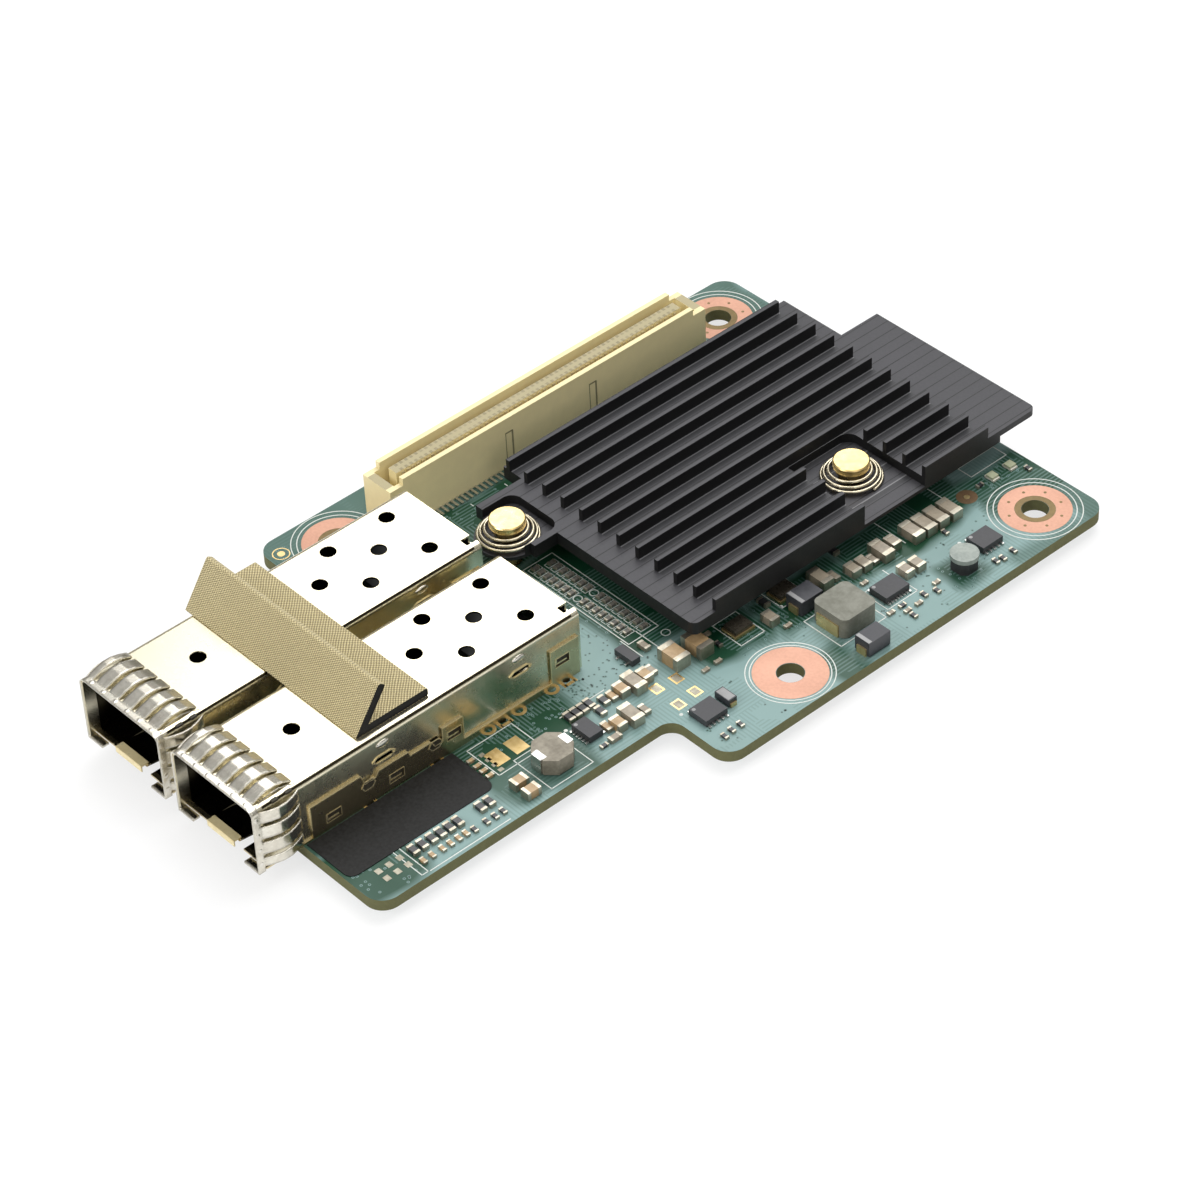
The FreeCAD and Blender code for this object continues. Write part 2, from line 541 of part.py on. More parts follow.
sink = new_body("heat_sink")
PLATE = [
    ("plate_left", "jog_y"), ("jog_x", "jog_y"), ("jog_x", "pin_a_y"), ("lobe_right", "pin_a_y"),
    ("lobe_right", "plate_front"), ("plate_right", "plate_front"), ("plate_right", "shelf_rear"),
    ("shelf_left", "shelf_rear"), ("shelf_left", "plate_rear"), ("plate_left", "plate_rear")]
sketch = new_sketch(sink, "XY_Plane", "sink_z")
outline(sketch, PLATE)
plate = pad(sink, sketch, "plate_thick")
corners = [(value("plate_right"), value("plate_front")), (value("plate_right"), value("shelf_rear"))]
fillet(sink, plate, edges_where(plate.Shape, upright_at(corners)), "plate_corner")
sketch = new_sketch(sink, "XY_Plane", "sink_z")
circle(sketch, "pin_a_x", "pin_a_y", "ear_radius")
pad(sink, sketch, "plate_thick")
sketch = new_sketch(sink, "XY_Plane", "sink_z")
rectangle(sketch, "shelf_left - 30", "plate_rear", "plate_right - shelf_left + 60", "shelf_rear - plate_rear + 5")
pocket(sink, sketch, "shelf_lift", along=True)
sketch = new_sketch(sink, "XY_Plane", "sink_z + plate_thick")
rectangle(sketch, "fin_first_x", "fin_front_y", "fin_thick", "fin_long")
fin = pad(sink, sketch, "fin_high")
repeat(sink, fin, "X_Axis", "fin_pitch", 12)
sketch = new_sketch(sink, "XY_Plane", "sink_z + pocket_floor")
rectangle(sketch, "pin_a_x - pocket_shift - pocket_side", "pin_a_y - 8", "2 * pocket_side", "8 + pocket_reach")
near_pocket = pocket(sink, sketch, "plate_thick + fin_high + 1", along=True)
pocket_corners = [(value("pin_a_x - pocket_shift - pocket_side"), value("pin_a_y + pocket_reach")),
                  (value("pin_a_x - pocket_shift + pocket_side"), value("pin_a_y + pocket_reach"))]
fillet(sink, near_pocket, edges_where(near_pocket.Shape, upright_at(pocket_corners)), "pocket_radius")
sketch = new_sketch(sink, "XY_Plane", "sink_z + pocket_floor")
rectangle(sketch, "far_pocket_left", "far_pocket_front", "plate_right - far_pocket_left + 2",
          "far_pocket_rear - far_pocket_front")
far_pocket = pocket(sink, sketch, "plate_thick + fin_high + 1", along=True)
pocket_corners = [(value("far_pocket_left"), value("far_pocket_rear"))]
fillet(sink, far_pocket, edges_where(far_pocket.Shape, upright_at(pocket_corners)), "pocket_radius")
sketch = new_sketch(sink, "XY_Plane", "sink_z - 1")
facet_ring(sketch, "pin_a_x", "pin_a_y", "shank_hole", 16)
facet_ring(sketch, "pin_b_x", "pin_b_y", "shank_hole", 16)
pocket(sink, sketch, "plate_thick + fin_high + 2", along=True)

pins = new_body("push_pins")
for pin_x, pin_y in (("pin_a_x", "pin_a_y"), ("pin_b_x", "pin_b_y")):
    sketch = new_sketch(pins, "XZ_Plane", "0 - " + pin_y, (pin_x, "0"))
    under = "0 - board_thick - barb_gap"
    outline(sketch, [
        ("0", under + " - barb_long"), ("shank_radius * 0.6", under + " - barb_long"),
        ("barb_radius", under), ("shank_radius", under),
        ("shank_radius", "head_top - head_thick"), ("head_radius", "head_top - head_thick"),
        ("head_radius", "head_top - 0.15"), ("head_radius - 0.15", "head_top"), ("0", "head_top")])
    turn = pins.newObject("PartDesign::Revolution", "push_pins_turn")
    turn.Profile = sketch
    turn.ReferenceAxis = (sketch, ["V_Axis"])
    turn.Angle = 360
    doc.recompute()
slit = new_sketch(pins, "XZ_Plane", "0")
for pin_x in ("pin_a_x", "pin_b_x"):
    rectangle(slit, pin_x + " - slit_in_pin / 2", "0 - board_thick - barb_gap - barb_long - 1", "slit_in_pin",
              "barb_long + barb_gap + board_thick + 1")
pocket(pins, slit, "board_back")


def spring_coil(x, y):
    """A conical coil of round wire, drawn as a ruled loft of five-sided sections along the coil."""
    wire = value("wire_radius")
    gap = value("coil_gap")
    low = value("sink_z + pocket_floor") + wire + gap
    rise = value("head_top - head_thick") - wire - gap - low
    steps = int(value("coil_turns") * 12)
    sections = []
    for step in range(steps + 1):
        share = step / steps
        angle = share * value("coil_turns") * 2 * math.pi
        radius = value("coil_radius") - share ** 1.6 * value("coil_taper")
        spots = []
        for corner in range(5):
            lean = corner * 2 * math.pi / 5
            reach = radius + wire * math.cos(lean)
            height = low + share * rise + wire * math.sin(lean)
            spots.append(Vector(x + reach * math.cos(angle), y + reach * math.sin(angle), height))
        sections.append(Part.makePolygon(spots + spots[:1]))
    return Part.makeLoft(sections, True, True)


springs = doc.addObject("Part::Feature", "pin_springs")
springs.Label = "pin_springs"
springs.Shape = Part.makeCompound([spring_coil(value("pin_a_x"), value("pin_a_y")),
                                   spring_coil(value("pin_b_x"), value("pin_b_y"))])
seat(springs)
nodes.append(springs)

# ---------- controller chip ----------

ball_layer = new_body("chip_ball_layer")
sketch = new_sketch(ball_layer, "XY_Plane", "0")
rectangle(sketch, "chip_x - chip_wide / 2 + ball_margin", "chip_y - chip_wide / 2 + ball_margin",
          "chip_wide - 2 * ball_margin", "chip_wide - 2 * ball_margin")
pad(ball_layer, sketch, "ball_high")
substrate = new_body("chip_substrate")
sketch = new_sketch(substrate, "XY_Plane", "ball_high")
rectangle(sketch, "chip_x - chip_wide / 2", "chip_y - chip_wide / 2", "chip_wide", "chip_wide")
pad(substrate, sketch, "substrate_thick")
die = new_body("chip_cap")
sketch = new_sketch(die, "XY_Plane", "ball_high + substrate_thick")
rectangle(sketch, "chip_x - die_wide / 2", "chip_y - die_wide / 2", "die_wide", "die_wide")
pad(die, sketch, "sink_z - paste_thick - ball_high - substrate_thick")
paste = new_body("thermal_pad")
sketch = new_sketch(paste, "XY_Plane", "sink_z - paste_thick")
rectangle(sketch, "chip_x - die_wide / 2", "chip_y - die_wide / 2", "die_wide", "die_wide")
pad(paste, sketch, "paste_thick")

# ---------- folded seal across the cages ----------


def inset(corners, distance):
    """The corners of a convex or bent outline, moved inwards by a distance."""
    moved = []
    count = len(corners)
    for i in range(count):
        before = Vector(*corners[i - 1], 0)
        here = Vector(*corners[i], 0)
        after = Vector(*corners[(i + 1) % count], 0)
        first = (here - before).normalize()
        second = (after - here).normalize()
        normal = Vector(-first.y, first.x, 0) + Vector(-second.y, second.x, 0)
        share = 1 + first.x * second.x + first.y * second.y
        moved.append((here.x + normal.x * distance / share, here.y + normal.y * distance / share))
    return moved


top = value("cage_high")
lean = Vector(value("seal_tip_y - seal_front"), value("seal_tip_z"), 0)
along = Vector(lean).normalize()
across = Vector(along.y, -along.x, 0) * value("seal_thick")
apex = Vector(value("seal_front"), top, 0)
tip = apex + lean
leg_top = top + value("seal_thick")
back_tip = tip + across
crotch = back_tip - along * ((back_tip.y - leg_top) / along.y)
rear = value("seal_rear")
V_OUTLINE = [(apex.x, apex.y), (rear, top), (rear, leg_top), (crotch.x, crotch.y), (back_tip.x, back_tip.y),
             (tip.x, tip.y)]
foam_outline = inset(V_OUTLINE, value("fabric"))
cover = new_body("seal_fabric")
SEAL_LEFT = FIRST_CAGE + " - seal_overhang"
SEAL_WIDE = "2 * cage_wide + cage_gap + seal_overhang - seal_short"
sketch = new_sketch(cover, "YZ_Plane", SEAL_LEFT)
polyline(sketch, V_OUTLINE)
polyline(sketch, foam_outline)
pad(cover, sketch, SEAL_WIDE)
foam = new_body("seal_foam")
sketch = new_sketch(foam, "YZ_Plane", SEAL_LEFT)
polyline(sketch, foam_outline)
pad(foam, sketch, SEAL_WIDE)

film = new_body("insulating_film")
sketch = new_sketch(film, "XY_Plane", "0")
rectangle(sketch, "cage_right + film_clear", "film_y", "film_wide", "film_long")
pad(film, sketch, "film_thick")

# ---------- chip capacitors and resistors ----------

# Centres of the chip parts by size and look; "x" parts lie across the card, "y" parts along it.
TAN_CAPACITORS = {
    ("huge", "x"): [(51.5, 57.4), (51.9, 60.8)],
    ("mid", "x"): [(51.2, 49.2), (51.3, 52.8), (55.3, 45.0)],
    ("mid", "y"): [(54.6, 30.3), (56.7, 30.3)],
    ("small", "x"): [(51.0, 47.9), (54.5, 43.9)],
    ("tiny", "x"): [(56.4, 17.2), (56.4, 18.4), (56.4, 19.6), (56.4, 20.7), (56.4, 15.7), (56.4, 14.4)],
    ("tiny", "y"): [(47.7, 28.9), (48.9, 28.9), (50.0, 28.9), (51.1, 28.9)],
}
GREY_CAPACITORS = {
    ("long", "x"): [(55.0, 93.6), (55.1, 95.6), (55.1, 97.7), (55.2, 99.9), (51.4, 51.0), (55.3, 47.0),
                    (54.9, 88.5), (53.4, 79.6)],
    ("mid", "x"): [(54.9, 83.6), (55.0, 85.3), (54.7, 90.6), (59.5, 88.0), (59.6, 89.8), (54.3, 70.4)],
    ("small", "x"): [(55.0, 86.9), (53.9, 81.4), (50.9, 54.2), (55.4, 49.0), (47.1, 56.6)],
    ("small", "y"): [(56.55, 43.35)],
    ("tiny", "y"): [(57.3, 83.2), (56.4, 71.3), (55.2, 61.0), (55.3, 58.9), (50.7, 63.4), (63.3, 89.4),
                    (64.5, 85.2), (63.4, 81.6), (64.5, 83.3)],
}
RESISTORS = {
    ("small", "x"): [(54.4, 14.6), (54.4, 15.9), (54.4, 17.3), (54.4, 18.6), (54.4, 19.9), (54.4, 21.2),
                     (54.4, 24.6), (54.4, 25.9), (50.2, 41.9), (50.2, 42.95), (50.2, 44.0), (50.1, 45.1),
                     (50.9, 46.7), (52.0, 45.2), (50.4, 84.7), (51.4, 72.1)],
    ("tiny", "x"): [(56.6, 21.8), (56.6, 23.6), (56.6, 24.9), (56.6, 26.1), (57.5, 96.9), (65.7, 100.2),
                    (65.8, 98.3), (65.6, 97.3), (64.4, 88.4), (65.6, 83.2), (63.8, 86.8), (65.0, 55.3),
                    (65.0, 53.9), (65.2, 52.6), (56.1, 113.0), (53.0, 63.2)],
    ("tiny", "y"): [(54.2, 106.4), (56.6, 41.6), (63.4, 83.5)],
}


def chip_parts(label, groups):
    """The middles of a group of chip parts as one node; their metal ends are drawn with the others.
    The two smallest sizes are in one piece with their ends."""
    middles = new_body(label)
    for (size, way), centres in groups.items():
        long_side = value(size + "_long")
        short_side = value(size + "_wide")
        end = long_side * value("cap_share") if size not in ("small", "tiny") else 0
        middle = long_side - 2 * end
        rectangles = []
        for x, y in centres:
            rectangles.append((x, y, middle, short_side) if way == "x" else (x, y, short_side, middle))
            for side in (-1, 1) if end else ():
                reach = side * (long_side - end) / 2
                thick = short_side + 2 * value("cap_proud")
                place = (x + reach, y, end, thick) if way == "x" else (x, y + reach, thick, end)
                chip_ends.setdefault(size, []).append(place)
        sketch = new_sketch(middles, "XY_Plane", "0")
        boxes(sketch, rectangles)
        pad(middles, sketch, size + "_high")


chip_ends = {}
chip_parts("tan_capacitors", TAN_CAPACITORS)
chip_parts("grey_capacitors", GREY_CAPACITORS)
chip_parts("chip_resistors", RESISTORS)
field_rows = {("tiny", "y"): []}
for row_number in (0, 1):
    for i in range(16):
        if i != 7:
            x = value("field_x") + i * value("field_step") + 0.6 * row_number
            field_rows[("tiny", "y")].append((x, value("field_y") + row_number * value("field_row")))
chip_parts("coupling_field", field_rows)
ends = new_body("chip_ends")
for size, places in chip_ends.items():
    sketch = new_sketch(ends, "XY_Plane", "0")
    boxes(sketch, places)
    pad(ends, sketch, size + "_high + cap_proud")

# ---------- packages, diodes, crystals, inductors and lamps ----------

# centre x, centre y, size x, size y and the "x" or "y" sides that have leads; then leads on a side
PACKAGES = [
    (53.5, 41.8, 3.2, 2.1, "y"), (61.05, 53.9, 3.0, 3.4, "x"), (60.4, 84.35, 2.9, 3.9, "x"),
    (62.1, 98.95, 2.9, 3.4, "x"), (47.2, 53.85, 3.1, 1.3, "y"),
]
LEAD_COUNTS = (6, 5, 8, 5, 2)
packages = new_body("chip_packages")
sketch = new_sketch(packages, "XY_Plane", "package_lift")
boxes(sketch, [place[:4] for place in PACKAGES])
pad(packages, sketch, "package_high - package_lift")
leads = new_body("package_leads")
reach = value("lead_long")
narrow = value("lead_wide")
rectangles = []
for (x, y, wide, high, way), count in zip(PACKAGES, LEAD_COUNTS):
    run = high if way == "x" else wide
    for i in range(count):
        offset = run * ((i + 0.5) / count - 0.5)
        for side in (-1, 1):
            if way == "x":
                rectangles.append((x + side * (wide + reach) / 2, y + offset, reach, narrow))
            else:
                rectangles.append((x + offset, y + side * (high + reach) / 2, narrow, reach))
sketch = new_sketch(leads, "XY_Plane", "0")
boxes(sketch, rectangles)
pad(leads, sketch, "lead_metal")

# centre x, centre y, size x, size y, straps at the "x" or "y" ends
DIODES = [(55.05, 75.4, 2.7, 3.5, "y"), (66.0, 75.9, 2.4, 3.5, "y"), (60.7, 57.05, 2.4, 1.3, "x")]
diodes = new_body("diodes")
for x, y, wide, high, way in DIODES:
    tall = "diode_high" if way == "y" else "diode_high / 2"
    sketch = new_sketch(diodes, "XY_Plane", "diode_lift")
    boxes(sketch, [(x, y, wide, high)])
    pad(diodes, sketch, "%s - diode_lift" % tall)
straps = new_body("diode_straps")
thick = value("strap_metal")
for x, y, wide, high, way in DIODES:
    tall = "diode_high / 2" if way == "y" else "diode_high / 4"
    strap = value("strap_wide") * (1 if way == "y" else 0.6)
    rectangles = []
    for side in (-1, 1):
        if way == "y":
            rectangles.append((x, y + side * (high + thick) / 2, strap, thick))
        else:
            rectangles.append((x + side * (wide + thick) / 2, y, thick, strap))
    sketch = new_sketch(straps, "XY_Plane", "0")
    boxes(sketch, rectangles)
    pad(straps, sketch, tall)

CRYSTALS = [(52.6, 66.8), (51.7, 75.1)]
bases = new_body("crystal_bases")
lids = new_body("crystal_lids")
for body, low, tall, share in ((bases, "0", "crystal_base", 1), (lids, "crystal_base", "crystal_high - crystal_base", 0.86)):
    sketch = new_sketch(body, "XY_Plane", low)
    size = (value("crystal_wide") * share, value("crystal_long") * share)
    boxes(sketch, [(x, y, size[0], size[1]) for x, y in CRYSTALS])
    pad(body, sketch, tall)

choke = new_body("power_inductor")
sketch = new_sketch(choke, "XY_Plane", "0.1")
rectangle(sketch, "choke_x - choke_wide / 2", "choke_y - choke_wide / 2", "choke_wide", "choke_wide")
block = pad(choke, sketch, "choke_high - 0.1")
half = value("choke_wide / 2")
cx, cy = value("choke_x"), value("choke_y")
corners = [(cx + i * half, cy + j * half) for i in (-1, 1) for j in (-1, 1)]
fillet(choke, block, edges_where(block.Shape, upright_at(corners)), "choke_corner")
choke_straps = new_body("power_inductor_straps")
strap = value("choke_strap")
sketch = new_sketch(choke_straps, "XY_Plane", "0")
boxes(sketch, [(cx, cy + side * (half + thick / 2), strap, thick) for side in (-1, 1)])
pad(choke_straps, sketch, "choke_high * 0.6")

round_choke = new_body("output_inductor")
sketch = new_sketch(round_choke, "XY_Plane", "0.1")
near = "round_choke_wide / 2"
clip = "round_choke_wide / 2 - round_choke_clip"
rx, ry = "round_choke_x", "round_choke_y"
low_near, low_clip, high_near, high_clip = " - (%s)" % near, " - (%s)" % clip, " + " + near, " + " + clip
outline(sketch, [
    (rx + low_clip, ry + low_near), (rx + high_clip, ry + low_near), (rx + high_near, ry + low_clip),
    (rx + high_near, ry + high_clip), (rx + high_clip, ry + high_near), (rx + low_clip, ry + high_near),
    (rx + low_near, ry + high_clip), (rx + low_near, ry + low_clip)])
pad(round_choke, sketch, "round_choke_high - 0.1")
round_straps = new_body("output_inductor_straps")
half = value(near)
cx, cy = value(rx), value(ry)
sketch = new_sketch(round_straps, "XY_Plane", "0")
strap = value("round_choke_strap")
boxes(sketch, [(cx, cy + side * (half + thick / 2), strap, thick) for side in (-1, 1)])
pad(round_straps, sketch, "round_choke_high")

drum = new_body("drum_inductor")
sketch = new_sketch(drum, "XY_Plane", "drum_base_high")
circle(sketch, "drum_x", "drum_y", "drum_radius")
pad(drum, sketch, "drum_high - drum_base_high")
drum_base = new_body("drum_inductor_base")
side = value("drum_base") / 2
clip = side * 0.55
cx, cy = value("drum_x"), value("drum_y")
sketch = new_sketch(drum_base, "XY_Plane", "0")
polyline(sketch, [(cx - clip, cy - side), (cx + clip, cy - side), (cx + side, cy - clip), (cx + side, cy + clip),
                  (cx + clip, cy + side), (cx - clip, cy + side), (cx - side, cy + clip), (cx - side, cy - clip)])
pad(drum_base, sketch, "drum_base_high")

LAMPS = [(54.1, 108.7), (54.15, 111.8)]
lamp_bases = new_body("lamp_bases")
lamp_lenses = new_body("lamp_lenses")
for body, low, tall, share in ((lamp_bases, "0", "lamp_base", 1), (lamp_lenses, "lamp_base", "lamp_high - lamp_base", 0.7)):
    sketch = new_sketch(body, "XY_Plane", low)
    boxes(sketch, [(x, y, value("lamp_long") * share, value("lamp_wide")) for x, y in LAMPS])
    pad(body, sketch, tall)

# ---------- checks and export ----------

doc.recompute()
faults = [thing.Name for thing in doc.Objects if "Invalid" in thing.State or "Error" in thing.State]
if faults:
    raise RuntimeError("features with faults: " + ", ".join(faults))
for body in nodes:
    if body.Shape.isNull() or not body.Shape.isValid() or not body.Shape.Solids:
        raise RuntimeError("no sound solid in " + body.Label)

os.makedirs("parts", exist_ok=True)
for body in nodes:
    body.Shape.exportStep("parts/%s.step" % body.Label)
    print("%-24s solids %3d  volume %9.2f" % (body.Label, len(body.Shape.Solids), body.Shape.Volume))
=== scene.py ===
import math
import random

import bmesh
import bpy
from mathutils import Matrix, Vector


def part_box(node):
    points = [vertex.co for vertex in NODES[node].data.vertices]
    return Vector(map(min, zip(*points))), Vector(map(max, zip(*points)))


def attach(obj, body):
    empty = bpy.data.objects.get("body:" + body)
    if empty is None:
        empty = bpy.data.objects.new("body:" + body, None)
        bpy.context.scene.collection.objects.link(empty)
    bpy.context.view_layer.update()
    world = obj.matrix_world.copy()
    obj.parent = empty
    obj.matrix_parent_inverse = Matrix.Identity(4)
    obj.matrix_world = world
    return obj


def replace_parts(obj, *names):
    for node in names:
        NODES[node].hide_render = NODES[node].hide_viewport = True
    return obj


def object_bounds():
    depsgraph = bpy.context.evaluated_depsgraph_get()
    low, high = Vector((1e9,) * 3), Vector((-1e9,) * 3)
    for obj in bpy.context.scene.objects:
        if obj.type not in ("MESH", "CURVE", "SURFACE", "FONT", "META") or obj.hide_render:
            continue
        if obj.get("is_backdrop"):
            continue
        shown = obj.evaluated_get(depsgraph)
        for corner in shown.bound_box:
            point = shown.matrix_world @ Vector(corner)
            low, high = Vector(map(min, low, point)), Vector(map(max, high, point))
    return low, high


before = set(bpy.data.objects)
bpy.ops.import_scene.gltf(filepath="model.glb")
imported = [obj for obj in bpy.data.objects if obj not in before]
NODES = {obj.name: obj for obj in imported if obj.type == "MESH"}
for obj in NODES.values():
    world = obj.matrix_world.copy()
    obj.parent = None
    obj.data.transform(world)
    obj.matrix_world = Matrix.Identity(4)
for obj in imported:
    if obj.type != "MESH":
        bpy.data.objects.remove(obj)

bl_info = {
    "name": "Mezzanine network card",
    "version": (1, 0, 0),
    "blender": (4, 5, 0),
    "location": "View3D > Sidebar > Network card",
    "description": "Finishes, printed marks, pads and studio for a mezzanine network card",
    "category": "Object",
}

MM = 0.001
BOARD_LOW, BOARD_HIGH = (Vector(corner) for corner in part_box("circuit_board"))
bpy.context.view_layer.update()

# Distances along the card, in millimetres, from the board's long edge and the port mouths.
BOARD_BACK = 114.5
MOUTH_TO_BACK = BOARD_HIGH.y - BOARD_BACK * MM
CAGE_PITCH = 17.3
CAGE_WIDE = 14.6
CAGE_LEFTS = (12.75, 12.75 + CAGE_PITCH)
MARK_THICK = 0.02
UNDERSIDE = -1.59
# Areas where the mask lies on bare laminate: left, right, front and rear, and the share of the effect.
BARE_LAMINATE = (
    ((44.0, 51.5, 27.5, 44.0), 1.0), ((47.5, 58.6, 5.0, 14.2), 0.9), ((50.0, 58.0, 27.5, 41.0), 0.75),
    ((49.5, 56.5, 59.0, 70.0), 1.0), ((50.0, 57.5, 70.0, 84.0), 1.0), ((49.0, 57.0, 84.0, 104.0), 1.0),
    ((25.0, 47.5, 54.0, 64.0), 1.0), ((11.0, 25.0, 52.0, 115.0), 1.0), ((61.5, 68.5, 70.0, 74.5), 0.8),
    ((61.0, 66.5, 90.5, 96.0), 0.9), ((52.0, 61.0, 103.0, 116.0), 0.95), ((60.0, 69.0, 111.5, 116.0), 0.7),
    ((47.0, 59.5, 3.0, 6.5), 0.8), ((44.5, 51.5, 26.5, 31.0), 0.7), ((66.5, 69.0, 98.0, 116.0), 0.5),
    ((-1.0, 11.5, 34.0, 115.0), 0.68), ((44.0, 47.5, 5.0, 28.0), 0.8),
)
HOLES = {"back": (6.04, 107.6), "corner": (62.0, 108.0), "side": (62.5, 65.8), "front": (6.04, 43.3)}
ORIGIN_X, ORIGIN_Y = HOLES["back"]


def spot(x, y, z=0.0):
    """A place on the card, given in millimetres from its long edge, its port mouths and its top face."""
    return Vector((BOARD_LOW.x + x * MM, MOUTH_TO_BACK + y * MM, BOARD_HIGH.z + z * MM))


def clear_of_holes(x, y, distance):
    """Whether a place is at least a distance in millimetres from the middle of every mounting hole."""
    return all(math.hypot(x - hole_x, y - hole_y) > distance for hole_x, hole_y in HOLES.values())


# ---------- mesh helpers ----------


def new_object(name, data):
    """An object in the scene for a mesh, a lamp or a camera."""
    piece = bpy.data.objects.new(name, data)
    bpy.context.scene.collection.objects.link(piece)
    return piece


def mesh_object(name, mesh_data, materials):
    """Turn a bmesh into an object of the scene."""
    mesh = bpy.data.meshes.new(name)
    mesh_data.to_mesh(mesh)
    mesh_data.free()
    for material in materials:
        mesh.materials.append(material)
    return new_object(name, mesh)


def finish_piece(name, mesh_data, materials, smooth=False):
    """Turn a bmesh into an object that rides with the card, with the materials it is given."""
    bmesh.ops.recalc_face_normals(mesh_data, faces=mesh_data.faces)
    piece = mesh_object(name, mesh_data, materials)
    if smooth:
        piece.data.shade_smooth()
    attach(piece, "root")
    return piece


def sized(centre, size):
    """The matrix that puts a unit form at a place, at a size in millimetres."""
    return Matrix.Translation(centre) @ Matrix.Diagonal(Vector(size) * MM).to_4x4()


def add_box(mesh_data, centre, size):
    """A block of the given size in millimetres."""
    bmesh.ops.create_cube(mesh_data, size=1.0, matrix=sized(centre, size))


def add_dome(mesh_data, centre, size):
    """A low rounded bump of the given half sizes in millimetres."""
    bmesh.ops.create_uvsphere(mesh_data, u_segments=16, v_segments=8, radius=1.0, matrix=sized(centre, size))


def add_disc(mesh_data, centre, radius, thick, sides=24):
    """A flat round dot standing on the given point."""
    place = Matrix.Translation(centre + Vector((0, 0, thick * MM / 2)))
    bmesh.ops.create_cone(mesh_data, cap_ends=True, segments=sides, radius1=radius * MM, radius2=radius * MM,
                          depth=thick * MM, matrix=place)


def add_ring(mesh_data, centre, inner, outer, thick, sides=48):
    """A flat washer standing on the given point, spun from its section."""
    section = []
    for radius, height in ((inner, 0), (outer, 0), (outer, thick), (inner, thick)):
        section.append(mesh_data.verts.new(centre + Vector((radius * MM, 0, height * MM))))
    loop = [mesh_data.edges.new((section[i], section[(i + 1) % 4])) for i in range(4)]
    bmesh.ops.spin(mesh_data, geom=section + loop, cent=centre, axis=(0, 0, 1), angle=2 * math.pi, steps=sides,
                   use_merge=True, use_duplicate=False)


def add_frame(mesh_data, low, high, line, thick):
    """A printed rectangle: four thin lines between two corners given in millimetres."""
    (x0, y0), (x1, y1) = low, high
    for x, y, wide, deep in (((x0 + x1) / 2, y0, x1 - x0 + line, line), ((x0 + x1) / 2, y1, x1 - x0 + line, line),
                             (x0, (y0 + y1) / 2, line, y1 - y0), (x1, (y0 + y1) / 2, line, y1 - y0)):
        add_box(mesh_data, spot(x, y, thick / 2), (wide, deep, thick))


def sweep(mesh_data, face, across):
    """Draw a face out into a solid, across the card."""
    swept = bmesh.ops.extrude_face_region(mesh_data, geom=[face])
    moved = [item for item in swept["geom"] if isinstance(item, bmesh.types.BMVert)]
    bmesh.ops.translate(mesh_data, verts=moved, vec=(across, 0, 0))


def add_panel(mesh_data, x, corners, thick):
    """A thin upright plate across the card: its outline given as distances along the card and heights."""
    ring = [mesh_data.verts.new(spot(x, y, z)) for y, z in corners]
    sweep(mesh_data, mesh_data.faces.new(ring), thick * MM)


def add_bead(mesh_data, x, corners, line, thick, closed=False):
    """A narrow raised line that follows corners on an upright wall."""
    count = len(corners)
    for index in range(count if closed else count - 1):
        (y0, z0), (y1, z1) = corners[index], corners[(index + 1) % count]
        length = math.hypot(y1 - y0, z1 - z0)
        side_y, side_z = (z1 - z0) / length * line / 2, (y0 - y1) / length * line / 2
        add_panel(mesh_data, x, ((y0 + side_y, z0 + side_z), (y1 + side_y, z1 + side_z),
                                 (y1 - side_y, z1 - side_z), (y0 - side_y, z0 - side_z)), thick)


# ---------- shader helpers ----------


class Graph:
    """A short way to place nodes in a tree and join them."""

    def __init__(self, tree):
        self.tree = tree

    def add(self, kind, inputs=None, **settings):
        node = self.tree.nodes.new("ShaderNode" + kind)
        for key, setting in settings.items():
            setattr(node, key, setting)
        self.fill(node, inputs or {})
        return node

    def fill(self, node, inputs):
        """Join a node's inputs to sockets, or give them values."""
        for key, given in inputs.items():
            if isinstance(given, bpy.types.NodeSocket):
                self.link(given, node, key)
            else:
                node.inputs[key].default_value = given

    def link(self, socket, node, key):
        self.tree.links.new(socket, node.inputs[key])

    def math(self, operation, *values):
        return self.add("Math", dict(enumerate(values)), operation=operation).outputs[0]

    def plus(self, first, second):
        return self.math("ADD", first, second)

    def minus(self, first, second):
        return self.math("SUBTRACT", first, second)

    def times(self, first, second):
        return self.math("MULTIPLY", first, second)

    def above(self, socket, level):
        return self.math("GREATER_THAN", socket, level)

    def below(self, socket, level):
        return self.math("LESS_THAN", socket, level)

    def noise(self, place, scale, detail=2.0):
        return self.add("TexNoise", {"Vector": place, "Scale": scale, "Detail": detail}).outputs[0]

    def facing(self):
        """How far a face looks up: 1 on a level top, 0 on a wall, -1 underneath."""
        normal = self.add("NewGeometry").outputs["Normal"]
        return self.add("SeparateXYZ", {0: normal}).outputs[2]

    def bump(self, shader, strength, distance, height):
        """Join a bump of a height in millimetres to a shader, and give its node."""
        raised = self.add("Bump", {"Strength": strength, "Distance": distance * MM, "Height": height})
        self.link(raised.outputs[0], shader, "Normal")
        return raised

    def blend(self, factor, first, second):
        node = self.add("Mix", {0: factor, 6: first, 7: second}, data_type="RGBA")
        return node.outputs[2]

    def remap(self, socket, from_low, from_high, to_low=0.0, to_high=1.0):
        return self.add("MapRange", {0: socket, 1: from_low, 2: from_high, 3: to_low, 4: to_high}).outputs[0]


